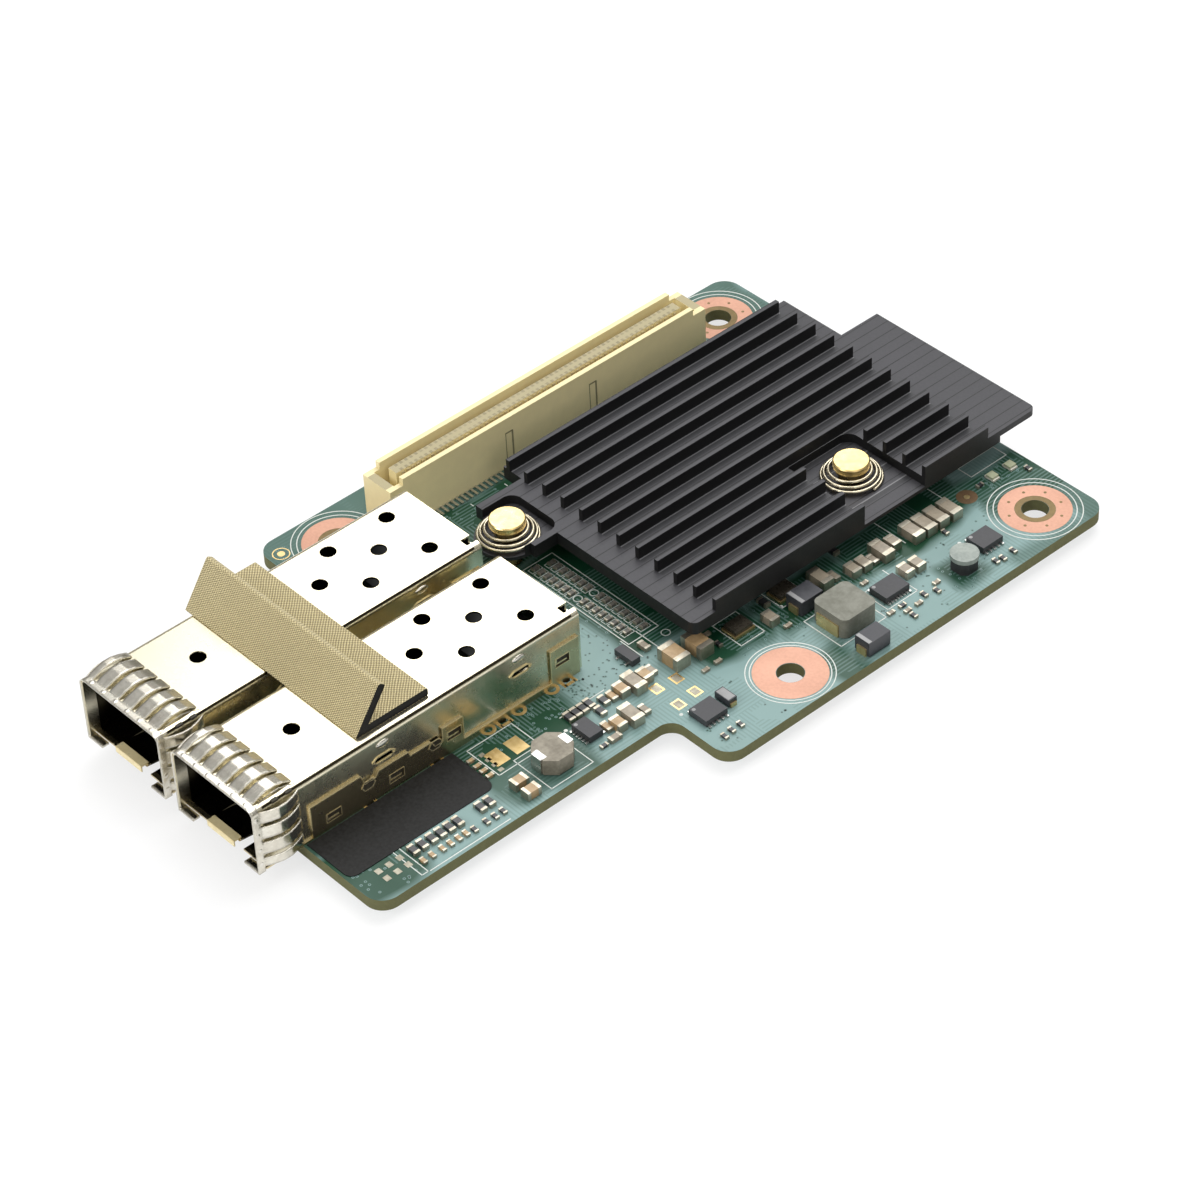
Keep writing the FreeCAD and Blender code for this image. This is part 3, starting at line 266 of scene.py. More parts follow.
def new_group(name, inputs, outputs):
    """An empty node group with named colour and number sockets."""
    tree = bpy.data.node_groups.new(name, "ShaderNodeTree")
    for label, kind, default in inputs:
        socket = tree.interface.new_socket(name=label, in_out="INPUT", socket_type=kind)
        socket.default_value = default
    for label, kind in outputs:
        tree.interface.new_socket(name=label, in_out="OUTPUT", socket_type=kind)
    graph = Graph(tree)
    return tree, graph, tree.nodes.new("NodeGroupInput"), tree.nodes.new("NodeGroupOutput")


COLOUR = "NodeSocketColor"
NUMBER = "NodeSocketFloat"


def surface_grain():
    """Node group: fine speckle over broad shading, for metal, mouldings and ceramics."""
    if "Surface grain" in bpy.data.node_groups:
        return bpy.data.node_groups["Surface grain"]
    tree, graph, given, result = new_group(
        "Surface grain",
        [("Colour", COLOUR, (0.5, 0.5, 0.5, 1)), ("Second Colour", COLOUR, (0.4, 0.4, 0.4, 1)),
         ("Scale", NUMBER, 1500.0), ("Broad Scale", NUMBER, 120.0), ("Rough Low", NUMBER, 0.3),
         ("Rough High", NUMBER, 0.5)],
        [("Colour", COLOUR), ("Roughness", NUMBER), ("Height", NUMBER)])
    place = graph.add("TexCoord").outputs["Object"]
    fine = graph.noise(place, given.outputs["Scale"], 3.0)
    broad = graph.noise(place, given.outputs["Broad Scale"])
    mixed = graph.plus(graph.times(fine, 0.45), graph.times(broad, 0.55))
    share = graph.remap(mixed, 0.38, 0.62)
    colour = graph.blend(share, given.outputs["Colour"], given.outputs["Second Colour"])
    rough = graph.remap(mixed, 0.35, 0.65, given.outputs["Rough Low"], given.outputs["Rough High"])
    graph.fill(result, {"Colour": colour, "Roughness": rough, "Height": fine})
    return tree


def repeated_lines():
    """Node group: narrow lines at an even pitch along one direction, 1 on a line and 0 between."""
    if "Repeated lines" in bpy.data.node_groups:
        return bpy.data.node_groups["Repeated lines"]
    tree, graph, given, result = new_group(
        "Repeated lines",
        [("Position", NUMBER, 0.0), ("Pitch", NUMBER, 0.001), ("Share", NUMBER, 0.1)], [("Line", NUMBER)])
    cycle = graph.math("FRACT", graph.math("DIVIDE", given.outputs["Position"], given.outputs["Pitch"]))
    from_middle = graph.math("ABSOLUTE", graph.minus(cycle, 0.5))
    half = graph.times(given.outputs["Share"], 0.5)
    graph.link(graph.below(from_middle, half), result, "Line")
    return tree


def lines(graph, position, pitch, share):
    """One use of the line group in a material."""
    chosen = {"Position": position, "Pitch": pitch * MM, "Share": share}
    return graph.add("Group", chosen, node_tree=repeated_lines()).outputs["Line"]


def new_material(name):
    """A material with an empty tree, its shader and its output."""
    material = bpy.data.materials.new(name)
    material.use_nodes = True
    material.node_tree.nodes.clear()
    graph = Graph(material.node_tree)
    shader = graph.add("BsdfPrincipled")
    graph.add("OutputMaterial", {0: shader.outputs[0]})
    return material, graph, shader


def grained(name, colour, second, rough, metallic=0.0, scale=1500.0, broad=120.0, bump=0.1, bump_depth=0.01,
            specular=0.5, rounded=0.0):
    """A material of fine grain: two colours, a range of roughness, a shallow bump and soft corners if asked."""
    material, graph, shader = new_material(name)
    node = graph.add("Group", {
        "Colour": (*colour, 1), "Second Colour": (*second, 1), "Scale": scale, "Broad Scale": broad,
        "Rough Low": rough[0], "Rough High": rough[1]}, node_tree=surface_grain())
    raised = graph.bump(shader, bump, bump_depth, node.outputs["Height"])
    if rounded:
        soft = graph.add("Bevel", {"Radius": rounded * MM}, samples=6)
        graph.link(soft.outputs[0], raised, "Normal")
    graph.fill(shader, {"Base Color": node.outputs["Colour"], "Roughness": node.outputs["Roughness"],
                        "Metallic": metallic, "Specular IOR Level": specular})
    return material


def dim(colour, share):
    """A colour at a share of its brightness."""
    return tuple(channel * share for channel in colour)


def base_colour(graph):
    """A material's shader and the socket that gives its colour."""
    shader = next(node for node in graph.tree.nodes if node.type == "BSDF_PRINCIPLED")
    return shader, shader.inputs["Base Color"].links[0].from_socket


def darken_inside(material):
    """Deep shade on a cage's inner faces, where the port lets little light in."""
    graph = Graph(material.node_tree)
    x, y, z = object_axes(graph)[:3]
    skin = 0.12  # about half the sheet's thickness
    lid, mouth, back = 8.85, 1.7, 47.9  # the height and the two ends of the shaded part
    from_wall = graph.minus(x, spot(CAGE_LEFTS[0] + skin, 0).x)
    share = graph.math("FRACT", graph.math("DIVIDE", from_wall, CAGE_PITCH * MM))
    inside = graph.below(share, (CAGE_WIDE - 2 * skin) / CAGE_PITCH)
    for test in (graph.below(z, lid * MM), graph.below(y, spot(0, back).y), graph.above(y, spot(0, mouth).y)):
        inside = graph.times(inside, test)
    shader, plain = base_colour(graph)
    graph.link(graph.blend(inside, plain, (0.055, 0.046, 0.026, 1)), shader, "Base Color")


def dress(material, *names):
    """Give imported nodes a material."""
    for name in names:
        node = NODES[name]
        if not node.material_slots:
            node.data.materials.append(material)
        for slot in node.material_slots:
            slot.material = material


def object_axes(graph):
    """The X, Y and Z of the place on the object, as three sockets."""
    place = graph.add("TexCoord").outputs["Object"]
    parts = graph.add("SeparateXYZ", {0: place})
    return parts.outputs[0], parts.outputs[1], parts.outputs[2], place


# ---------- settings ----------


def colour_setting(name, description, default):
    return bpy.props.FloatVectorProperty(name=name, description=description, subtype="COLOR", size=3, default=default)


def length_setting(name, description, default):
    return bpy.props.FloatProperty(name=name, description=description, default=default, subtype="DISTANCE",
                                   unit="LENGTH")


class CardSettings(bpy.types.PropertyGroup):
    """Colours and sizes of the card's finishes."""
    mask_blue: colour_setting("Mask over copper", "Solder mask where copper lies under it", (0.20, 0.305, 0.295))
    mask_green: colour_setting(
        "Mask over laminate", "Solder mask where no copper lies under it", (0.007, 0.047, 0.022))
    laminate: colour_setting("Laminate edge", "Cut edge of the board", (0.16, 0.16, 0.07))
    copper: colour_setting("Bare copper", "Lands round the mounting holes", (0.55, 0.295, 0.205))
    fabric_dark: colour_setting("Seal shade", "Gaps between the seal's threads", (0.12, 0.085, 0.028))
    fabric_light: colour_setting("Seal thread", "Crowns of the seal's threads", (0.84, 0.72, 0.40))
    ivory: colour_setting("Connector", "Long connector's moulding", (0.88, 0.76, 0.43))
    thread_pitch: length_setting("Thread pitch", "Distance between threads of the seal, in metres", 0.44 * MM)
    print_thick: length_setting("Print thickness", "Height of printed lines over the board, in metres", 0.02 * MM)


def settings():
    return bpy.context.scene.network_card


# ---------- board ----------


class NETCARD_OT_board(bpy.types.Operator):
    """Solder mask with traces under it, and the cut laminate at the board's edges"""
    bl_idname = "netcard.board"
    bl_label = "Board finish"

    def execute(self, context):
        chosen = settings()
        material, graph, shader = new_material("solder mask")
        x, y, z, place = object_axes(graph)
        cells = graph.add("TexVoronoi", {"Vector": place, "Scale": 210.0}, distance="CHEBYCHEV")
        cell = graph.add("SeparateColor", {0: cells.outputs["Color"]})
        across = lines(graph, x, 0.52, 0.42)
        along = lines(graph, y, 0.52, 0.42)
        trace = graph.add("Mix", {0: graph.above(cell.outputs[0], 0.5), 2: across, 3: along})
        bundled = graph.times(trace.outputs[0], graph.above(cell.outputs[1], 0.35))
        patches = graph.noise(place, 70.0)
        wander = graph.times(graph.minus(patches, 0.5), 6.0 * MM)
        across_card = graph.plus(x, wander)
        along_card = graph.minus(y, wander)
        bare = 0.0
        for (x0, x1, y0, y1), share in BARE_LAMINATE:
            zone = share
            for position, origin, low, high in ((across_card, ORIGIN_X, x0, x1), (along_card, ORIGIN_Y, y0, y1)):
                for edge, fade in ((low - origin, 0.8), (high - origin, -0.8)):
                    zone = graph.times(zone, graph.remap(position, (edge - fade) * MM, (edge + fade) * MM))
            bare = graph.math("MAXIMUM", bare, zone)
        facing = graph.facing()
        bare = graph.times(bare, graph.remap(facing, -0.5, 0.5, 0.2, 1.0))
        copper_under = graph.minus(graph.remap(patches, 0.2, 0.6, 0.8, 1.0), bare)
        lit = graph.math("MAXIMUM", graph.times(bundled, 0.34),
                         graph.minus(copper_under, graph.times(bundled, 0.16)))
        mask = graph.blend(lit, (*chosen.mask_green, 1), (*chosen.mask_blue, 1))
        upright = graph.below(graph.math("ABSOLUTE", facing), 0.5)
        plies = lines(graph, z, 0.2, 0.3)
        fibre = graph.noise(place, 1400.0)
        edge = graph.blend(graph.plus(graph.times(plies, 0.45), graph.times(fibre, 0.5)),
                           (*dim(chosen.laminate, 0.55), 1), (*chosen.laminate, 1))
        rough = graph.add("Mix", {0: upright, 2: graph.remap(patches, 0.3, 0.7, 0.30, 0.42), 3: 0.75})
        graph.fill(shader, {"Base Color": graph.blend(upright, mask, edge), "Roughness": rough.outputs[0],
                            "Specular IOR Level": 0.25})
        graph.bump(shader, 0.35, 0.02, lit)
        dress(material, "circuit_board")
        return {"FINISHED"}


class NETCARD_OT_lands(bpy.types.Operator):
    """Bare copper round the mounting holes, with stitching vias, and eyelets round the cage pins"""
    bl_idname = "netcard.lands"
    bl_label = "Copper lands and eyelets"

    def execute(self, context):
        chosen = settings()
        copper = grained("bare copper", chosen.copper, dim(chosen.copper, 0.88), (0.38, 0.55),
                         metallic=0.35, scale=2600.0, bump=0.1)
        lands = bmesh.new()
        for name, (x, y) in HOLES.items():
            inner = 1.75 if name == "side" else 2.55
            add_ring(lands, spot(x, y), inner, 4.58, MARK_THICK)
            add_ring(lands, spot(x, y, UNDERSIDE), inner, 4.2, MARK_THICK)
        finish_piece("hole_lands", lands, [copper])
        dark = grained("plated hole edge", (0.13, 0.09, 0.035), (0.20, 0.14, 0.06), (0.3, 0.5), metallic=0.6)
        rims = bmesh.new()
        for name, (x, y) in HOLES.items():
            if name != "side":
                add_ring(rims, spot(x, y), 1.72, 2.53, MARK_THICK)
            if name in ("corner", "back"):
                for step in range(8):
                    angle = math.radians(22.5 + 45 * step)
                    across, along = 3.45 * math.cos(angle), 3.45 * math.sin(angle)
                    add_disc(rims, spot(x + across, y + along, MARK_THICK), 0.2, 0.012, 12)
        finish_piece("hole_rims", rims, [dark])
        gold = grained("gold pad", (0.60, 0.42, 0.17), (0.72, 0.55, 0.28), (0.25, 0.4), metallic=1.0)
        eyelets = bmesh.new()
        for x in (left + offset for offset in (CAGE_WIDE + 0.2, -0.2) for left in CAGE_LEFTS):
            for y in (16.2, 26.2, 34.0, 38.75, 43.9):
                add_ring(eyelets, spot(x, y), 0.56, 1.0, MARK_THICK, 24)
            for y in (36.2, 46.2):
                add_frame(eyelets, (x - 0.78, y - 0.78), (x + 0.78, y + 0.78), 0.44, MARK_THICK)
            for y in (16.2, 26.2, 36.2, 46.2):
                add_ring(eyelets, spot(x, y, UNDERSIDE), 0.6, 1.0, MARK_THICK, 24)
        add_disc(eyelets, spot(2.9, 36.8), 0.5, MARK_THICK)
        add_ring(eyelets, spot(2.9, 36.8), 1.0, 1.15, 0.015, 32)
        for y in (31.6, 34.6):
            add_box(eyelets, spot(49.2, y, 0.012), (2.6, 2.0, 0.024))
        solder = grained("tinned pad", (0.36, 0.34, 0.27), (0.24, 0.22, 0.17), (0.3, 0.5), metallic=0.6)
        tinned = bmesh.new()
        for x, y in ((53.5, 52.7), (53.8, 55.6), (57.0, 55.6), (57.3, 52.7)):
            add_box(eyelets, spot(x, y, 0.01), (1.6, 1.4, MARK_THICK))
            add_box(tinned, spot(x, y, MARK_THICK), (1.15, 0.95, 0.03))
        for step in range(4):
            add_box(tinned, spot(47.7 + 1.12 * step, 30.6, 0.012), (0.55, 0.7, 0.024))
        for step in range(3):
            for x in (54.0, 55.5):
                add_box(tinned, spot(x, 9.8 + 1.55 * step, 0.012), (0.85, 0.75, 0.024))
        finish_piece("gold_pads", eyelets, [gold])
        finish_piece("tinned_pads", tinned, [solder])
        brown = grained("brown land", (0.16, 0.095, 0.045), (0.11, 0.065, 0.03), (0.35, 0.5), metallic=0.4)
        land = bmesh.new()
        add_ring(land, spot(54.5, 103.8), 0.42, 1.35, MARK_THICK, 32)
        centre = bmesh.new()
        add_disc(centre, spot(54.5, 103.8), 0.4, 0.024)
        finish_piece("brown_land", land, [brown])
        finish_piece("brown_land_centre", centre, [gold])
        return {"FINISHED"}


class NETCARD_OT_vias(bpy.types.Operator):
    """Small vias under the mask, scattered where the board is open"""
    bl_idname = "netcard.vias"
    bl_label = "Vias"

    def execute(self, context):
        tented = grained("tented via", (0.14, 0.24, 0.23), (0.10, 0.19, 0.17), (0.3, 0.45))
        bored = grained("via hole", (0.02, 0.035, 0.03), (0.03, 0.05, 0.04), (0.5, 0.6))
        open_areas = (((46.0, 31.0), (50.0, 56.0)), ((50.0, 6.8), (58.0, 13.0)), ((45.6, 36.5), (49.0, 49.0)),
                      ((57.5, 59.5), (67.0, 61.5)), ((53.0, 101.5), (57.0, 113.0)), ((50.0, 64.0), (59.0, 73.0)),
                      ((58.0, 86.0), (67.0, 97.0)), ((28.0, 49.6), (45.0, 55.5)), ((1.0, 36.0), (11.0, 48.0)),
                      ((11.8, 52.0), (14.0, 113.5)), ((53.5, 81.0), (67.2, 83.0)), ((60.5, 51.6), (67.2, 53.6)),
                      ((58.5, 99.0), (60.5, 103.0)), ((45.5, 44.0), (50.0, 57.0)))
        draw = random.Random(7)
        vias = bmesh.new()
        bores = bmesh.new()
        for (x0, y0), (x1, y1) in open_areas:
            for _ in range(max(6, int((x1 - x0) * (y1 - y0) * 0.55))):
                x, y = draw.uniform(x0, x1), draw.uniform(y0, y1)
                if clear_of_holes(x, y, 6.2):
                    add_disc(vias, spot(x, y), 0.19, 0.01, 10)
                    add_disc(bores, spot(x, y), 0.09, 0.016, 8)
        for _ in range(260):
            x, y = draw.uniform(2, 66), draw.uniform(52, 113)
            if clear_of_holes(x, y, 5.0):
                add_disc(vias, spot(x, y, -1.58), 0.2, 0.012, 8)
        finish_piece("vias", vias, [tented])
        finish_piece("via_holes", bores, [bored])
        return {"FINISHED"}


class NETCARD_OT_print(bpy.types.Operator):
    """Printed rings, outlines and polarity marks, with no lettering"""
    bl_idname = "netcard.print"
    bl_label = "Printed outlines"

    def execute(self, context):
        ink = grained("white ink", (0.66, 0.68, 0.64), (0.52, 0.55, 0.52), (0.6, 0.8), scale=3000.0)
        thick = settings().print_thick / MM
        marks = bmesh.new()
        for name in ("back", "corner", "front", "side"):
            for radius in (4.78, 5.3) if name == "side" else (5.05, 5.8):
                add_ring(marks, spot(*HOLES[name]), radius, radius + 0.13, thick, 64)
        for row in (0, 1):
            for step in range(16):
                if step != 7:
                    x = 27.2 + 1.1 * step + 0.6 * row
                    y = 57.0 + 2.1 * row
                    add_frame(marks, (x - 0.42, y - 0.82), (x + 0.42, y + 0.82), 0.09, thick)
        for x, y in ((34.9, 57.0), (35.5, 59.1), (46.9, 60.3), (48.4, 63.0)):
            add_ring(marks, spot(x, y), 0.5, 0.62, thick, 24)
        outlines = (((26.3, 55.7), (45.4, 60.5)), ((50.0, 65.0), (55.0, 68.8)), ((49.6, 73.2), (53.5, 77.2)),
                    ((57.1, 73.3), (63.4, 80.8)), ((51.0, 32.6), (57.6, 39.0)), ((58.4, 81.9), (62.6, 86.9)),
                    ((51.6, 12.9), (57.9, 13.8)), ((49.9, 107.0), (52.2, 113.2)), ((46.0, 29.8), (51.7, 36.6)))
        for low, high in outlines:
            add_frame(marks, low, high, 0.13, thick)
        for x, y in ((51.4, 40.3), (58.8, 51.7), (58.4, 82.0), (60.0, 96.8), (45.1, 54.6), (56.9, 78.4), (53.2, 73.3)):
            add_disc(marks, spot(x, y), 0.24, thick, 16)
        for step in range(9):
            add_box(marks, spot(12.4, 54.0 + 5.6 * step, thick / 2), (0.6, 0.14, thick))
        for x, y, wide, deep in ((59.1, 86.6, 4.2, 0.13), (52.7, 92.2, 5.4, 0.13), (52.7, 101.5, 5.4, 0.13),
                                 (46.2, 57.9, 4.0, 0.13), (46.2, 55.4, 4.0, 0.13), (49.3, 41.2, 0.13, 7.0),
                                 (48.6, 14.0, 0.13, 12.0), (58.0, 14.0, 0.13, 12.0)):
            add_box(marks, spot(x, y + (deep / 2 if deep > 1 else 0), thick / 2), (wide, deep, thick))
        finish_piece("printed_outlines", marks, [ink])
        return {"FINISHED"}


# ---------- cages ----------


# The free edge of a tray's side flap: distance from the port mouths and height over the board.
FLAP_EDGE = (
    (7.8, 1.4), (7.8, 4.9), (15.2, 4.9), (15.7, 3.4), (17.3, 3.4), (17.8, 4.1), (22.2, 4.1), (22.4, 3.4), (25.6, 3.4),
    (26.1, 2.5), (27.3, 2.5), (27.3, 4.4), (30.4, 4.4), (30.4, 0.9), (44.0, 0.9), (44.0, 5.6), (48.4, 5.6),
)


class NETCARD_OT_cages(bpy.types.Operator):
    """Nickel on the cages and steel on their collars, with weld spots, dimples, painted highlights along sheet edges,
    painted shade in openings and inside the ports, and latch lips
    """
    bl_idname = "netcard.cages"
    bl_label = "Port cages"

    def execute(self, context):
        nickel = grained("bright nickel", (0.84, 0.79, 0.62), (0.78, 0.72, 0.54), (0.20, 0.30), metallic=1.0,
                         scale=900.0, broad=60.0, bump=0.04)
        tray = grained("tray nickel", (0.66, 0.57, 0.37), (0.60, 0.51, 0.32), (0.24, 0.32), metallic=1.0,
                       scale=900.0, broad=90.0, bump=0.05)
        lip = grained("latch lip", (0.86, 0.74, 0.44), (0.74, 0.62, 0.34), (0.25, 0.4), metallic=0.2)
        # Painted highlight: light gold for the bright beads along sheet edges, windows, lances, notches and slits.
        bright = grained("painted edge highlight", (0.92, 0.80, 0.50), (0.80, 0.68, 0.40), (0.25, 0.4), metallic=0.8)
        # Painted shade: near black for the insides of the windows and hex notches and the small blocks at the top of
        # the walls.
        shade = grained("painted shade in cage openings", (0.025, 0.02, 0.012), (0.04, 0.034, 0.02), (0.5, 0.7))
        spring = grained("spring steel", (0.80, 0.77, 0.70), (0.68, 0.65, 0.58), (0.18, 0.3), metallic=1.0,
                         scale=1400.0, broad=200.0, bump=0.06)
        darken_inside(nickel)
        darken_inside(tray)
        dress(nickel, "cage_cover_1", "cage_cover_2")
        dress(tray, "cage_tray_1", "cage_tray_2")
        collar = grained("collar steel", (0.80, 0.77, 0.68), (0.66, 0.62, 0.53), (0.16, 0.26), metallic=1.0,
                         scale=1400.0, broad=200.0, bump=0.06, rounded=0.45)
        dress(collar, "cage_collar_1", "cage_collar_2")
        spots, dimples, edges, gaps, lips = (bmesh.new() for _ in range(5))
        for left in CAGE_LEFTS:
            for step in range(6):
                add_dome(spots, spot(left + 1.7 + 2.27 * step, 0.5, 9.15), (0.34, 0.3, 0.05))
            for x in (left - 0.15, left + CAGE_WIDE + 0.15):
                for height in (1.0, 3.1, 5.4, 7.7):
                    add_dome(spots, spot(x, 0.5, height), (0.05, 0.3, 0.34))
            for x in (left, left + CAGE_WIDE):
                for y in (18.9, 39.4):
                    add_dome(dimples, spot(x, y, 7.5), (0.22, 1.0, 0.5))
            # Bright beads along the flap edges, window frames, lances, hex notches and slits are painted highlights.
            for wall, side in ((left, -1), (left + CAGE_WIDE, 1)):
                skin = wall + side * 0.25
                add_bead(edges, skin, FLAP_EDGE, 0.13, side * 0.05)
                for y, z in ((9.9, 1.1), (19.2, 1.1), (27.9, 2.0), (44.7, 2.8)):
                    window = ((y, z), (y + 2.2, z), (y + 2.2, z + 1.3), (y, z + 1.3))
                    lance = ((y + 0.25, z + 1.0), (y + 0.25, z + 0.35), (y + 1.9, z + 0.35))
                    # Painted shade: a dark panel inside each window and hex notch.
                    add_panel(gaps, wall + side * 0.02, window, side * 0.03)
                    add_bead(edges, wall + side * 0.05, lance, 0.2, side * 0.05)
                    add_bead(edges, skin, window, 0.1, side * 0.03, True)
                for y, z in ((16.2, 3.0), (26.2, 2.7)):
                    hexagon = ((y - 1.0, z), (y - 0.55, z - 0.65), (y + 0.55, z - 0.65), (y + 1.0, z),
                               (y + 0.55, z + 0.65), (y - 0.55, z + 0.65))
                    add_panel(gaps, skin - side * 0.01, hexagon, side * 0.03)
                    add_bead(edges, skin, hexagon, 0.14, side * 0.06, True)
                for y in (18.9, 39.6):
                    slit = ((y - 1.7, 5.45), (y - 1.0, 5.9), (y + 1.0, 5.9), (y + 1.7, 5.45), (y + 1.0, 5.0),
                            (y - 1.0, 5.0))
                    add_bead(edges, wall, slit, 0.14, side * 0.12, True)
                # Painted shade: dark blocks across the top of each wall near the mouth.
                for y in (3.4, 5.4):
                    add_box(gaps, spot(wall - side * 0.12, y, 8.88), (0.42, 0.85, 0.32))
            add_box(lips, spot(left + CAGE_WIDE / 2, 1.0, 1.16), (4.9, 1.1, 0.2))
            add_box(lips, spot(left + CAGE_WIDE / 2, 0.5, 0.75), (4.9, 0.16, 0.75))
        finish_piece("latch_lips", lips, [lip])
        finish_piece("weld_spots", spots, [spring], smooth=True)
        finish_piece("pressed_dimples", dimples, [spring], smooth=True)
        finish_piece("painted_edge_highlights", edges, [bright])
        finish_piece("cage_shadows", gaps, [shade])
        return {"FINISHED"}


class NETCARD_OT_seal(bpy.types.Operator):
    """Folded seal across the cages: woven, metallised cloth round black foam"""
    bl_idname = "netcard.seal"
    bl_label = "Folded seal"

    def execute(self, context):
        low, high = (Vector(corner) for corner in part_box("seal_fabric"))
        leg = 1.15 * MM
        tip_y = low.y + 4.1 * MM
        rise = Vector((0, tip_y - low.y, high.z - low.z)).normalized()
        across = Vector((0, rise.z, -rise.y)) * leg
        apex = low.copy()
        tip = Vector((low.x, tip_y, high.z))
        back_tip = tip + across
        leg_top = low.z + leg
        crotch = back_tip - rise * ((back_tip.z - leg_top) / rise.z)
        corners = [apex, Vector((low.x, high.y, low.z)), Vector((low.x, high.y, leg_top)), crotch, back_tip, tip]
        wrap = bmesh.new()
        ring = [wrap.verts.new(corner) for corner in corners]
        wrap.faces.new(ring)
        rounded = [vert for vert in ring if vert is not ring[3]]
        bmesh.ops.bevel(wrap, geom=rounded, offset=0.3 * MM, offset_type="OFFSET", segments=4, profile=0.5,
                        affect="VERTICES", material=-1)
        sweep(wrap, max(wrap.faces, key=lambda face: face.calc_area()), high.x - low.x)
        long_edges = [edge for edge in wrap.edges if abs(edge.verts[0].co.x - edge.verts[1].co.x) > 1 * MM]
        bmesh.ops.subdivide_edges(wrap, edges=long_edges, cuts=48, use_grid_fill=True)
        draw = random.Random(3)
        waves = [(draw.uniform(0.2, 0.9) / (3 * MM), draw.uniform(0, 6.28), draw.uniform(0.01, 0.035) * MM)
                 for _ in range(5)]
        for vert in wrap.verts:
            if low.x + 0.5 * MM < vert.co.x < high.x - 0.5 * MM and vert.co.z > low.z + 0.3 * MM:
                vert.co.y -= abs(sum(size * math.sin(rate * vert.co.x + phase) for rate, phase, size in waves)) * 0.3
        bmesh.ops.recalc_face_normals(wrap, faces=wrap.faces)
        ends = [face for face in wrap.faces if abs(face.normal.x) > 0.99]
        bmesh.ops.inset_region(wrap, faces=ends, thickness=0.02 * MM, depth=0, use_even_offset=True)
        for face in ends:
            face.material_index = 1
        bmesh.ops.inset_region(wrap, faces=ends, thickness=0.01 * MM, depth=-0.12 * MM, use_even_offset=True)
        foam = grained("black foam", (0.006, 0.006, 0.006), (0.016, 0.015, 0.014), (0.85, 1.0), scale=2500.0, bump=0.6,
                       bump_depth=0.1)
        piece = finish_piece("seal_wrap", wrap, [self.cloth(), foam])
        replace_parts(piece, "seal_fabric", "seal_foam")
        return {"FINISHED"}

    def cloth(self):
        """Plain weave in two directions, with sheen on the crowns of the threads."""
        chosen = settings()
        material, graph, shader = new_material("woven seal cloth")
        x, y, z, place = object_axes(graph)
        drift = graph.times(graph.noise(place, 300.0), 0.25 * MM)
        turn = 2 * math.pi / chosen.thread_pitch
        warp = graph.math("SINE", graph.times(graph.plus(x, drift), turn))
        weft = graph.math("SINE", graph.times(graph.plus(graph.plus(y, z), drift), turn))
        crown = graph.remap(graph.times(warp, weft), -0.55, 0.75)
        tone = graph.plus(graph.times(crown, 0.75), graph.times(graph.noise(place, 5000.0), 0.3))
        colour = graph.blend(tone, (*chosen.fabric_dark, 1), (*chosen.fabric_light, 1))
        graph.fill(shader, {"Base Color": colour, "Roughness": graph.remap(crown, 0.0, 1.0, 0.75, 0.5),
                            "Metallic": 0.15, "Sheen Weight": 0.2})
        graph.bump(shader, 1.0, 0.12, tone)
        return material


# ---------- connectors ----------


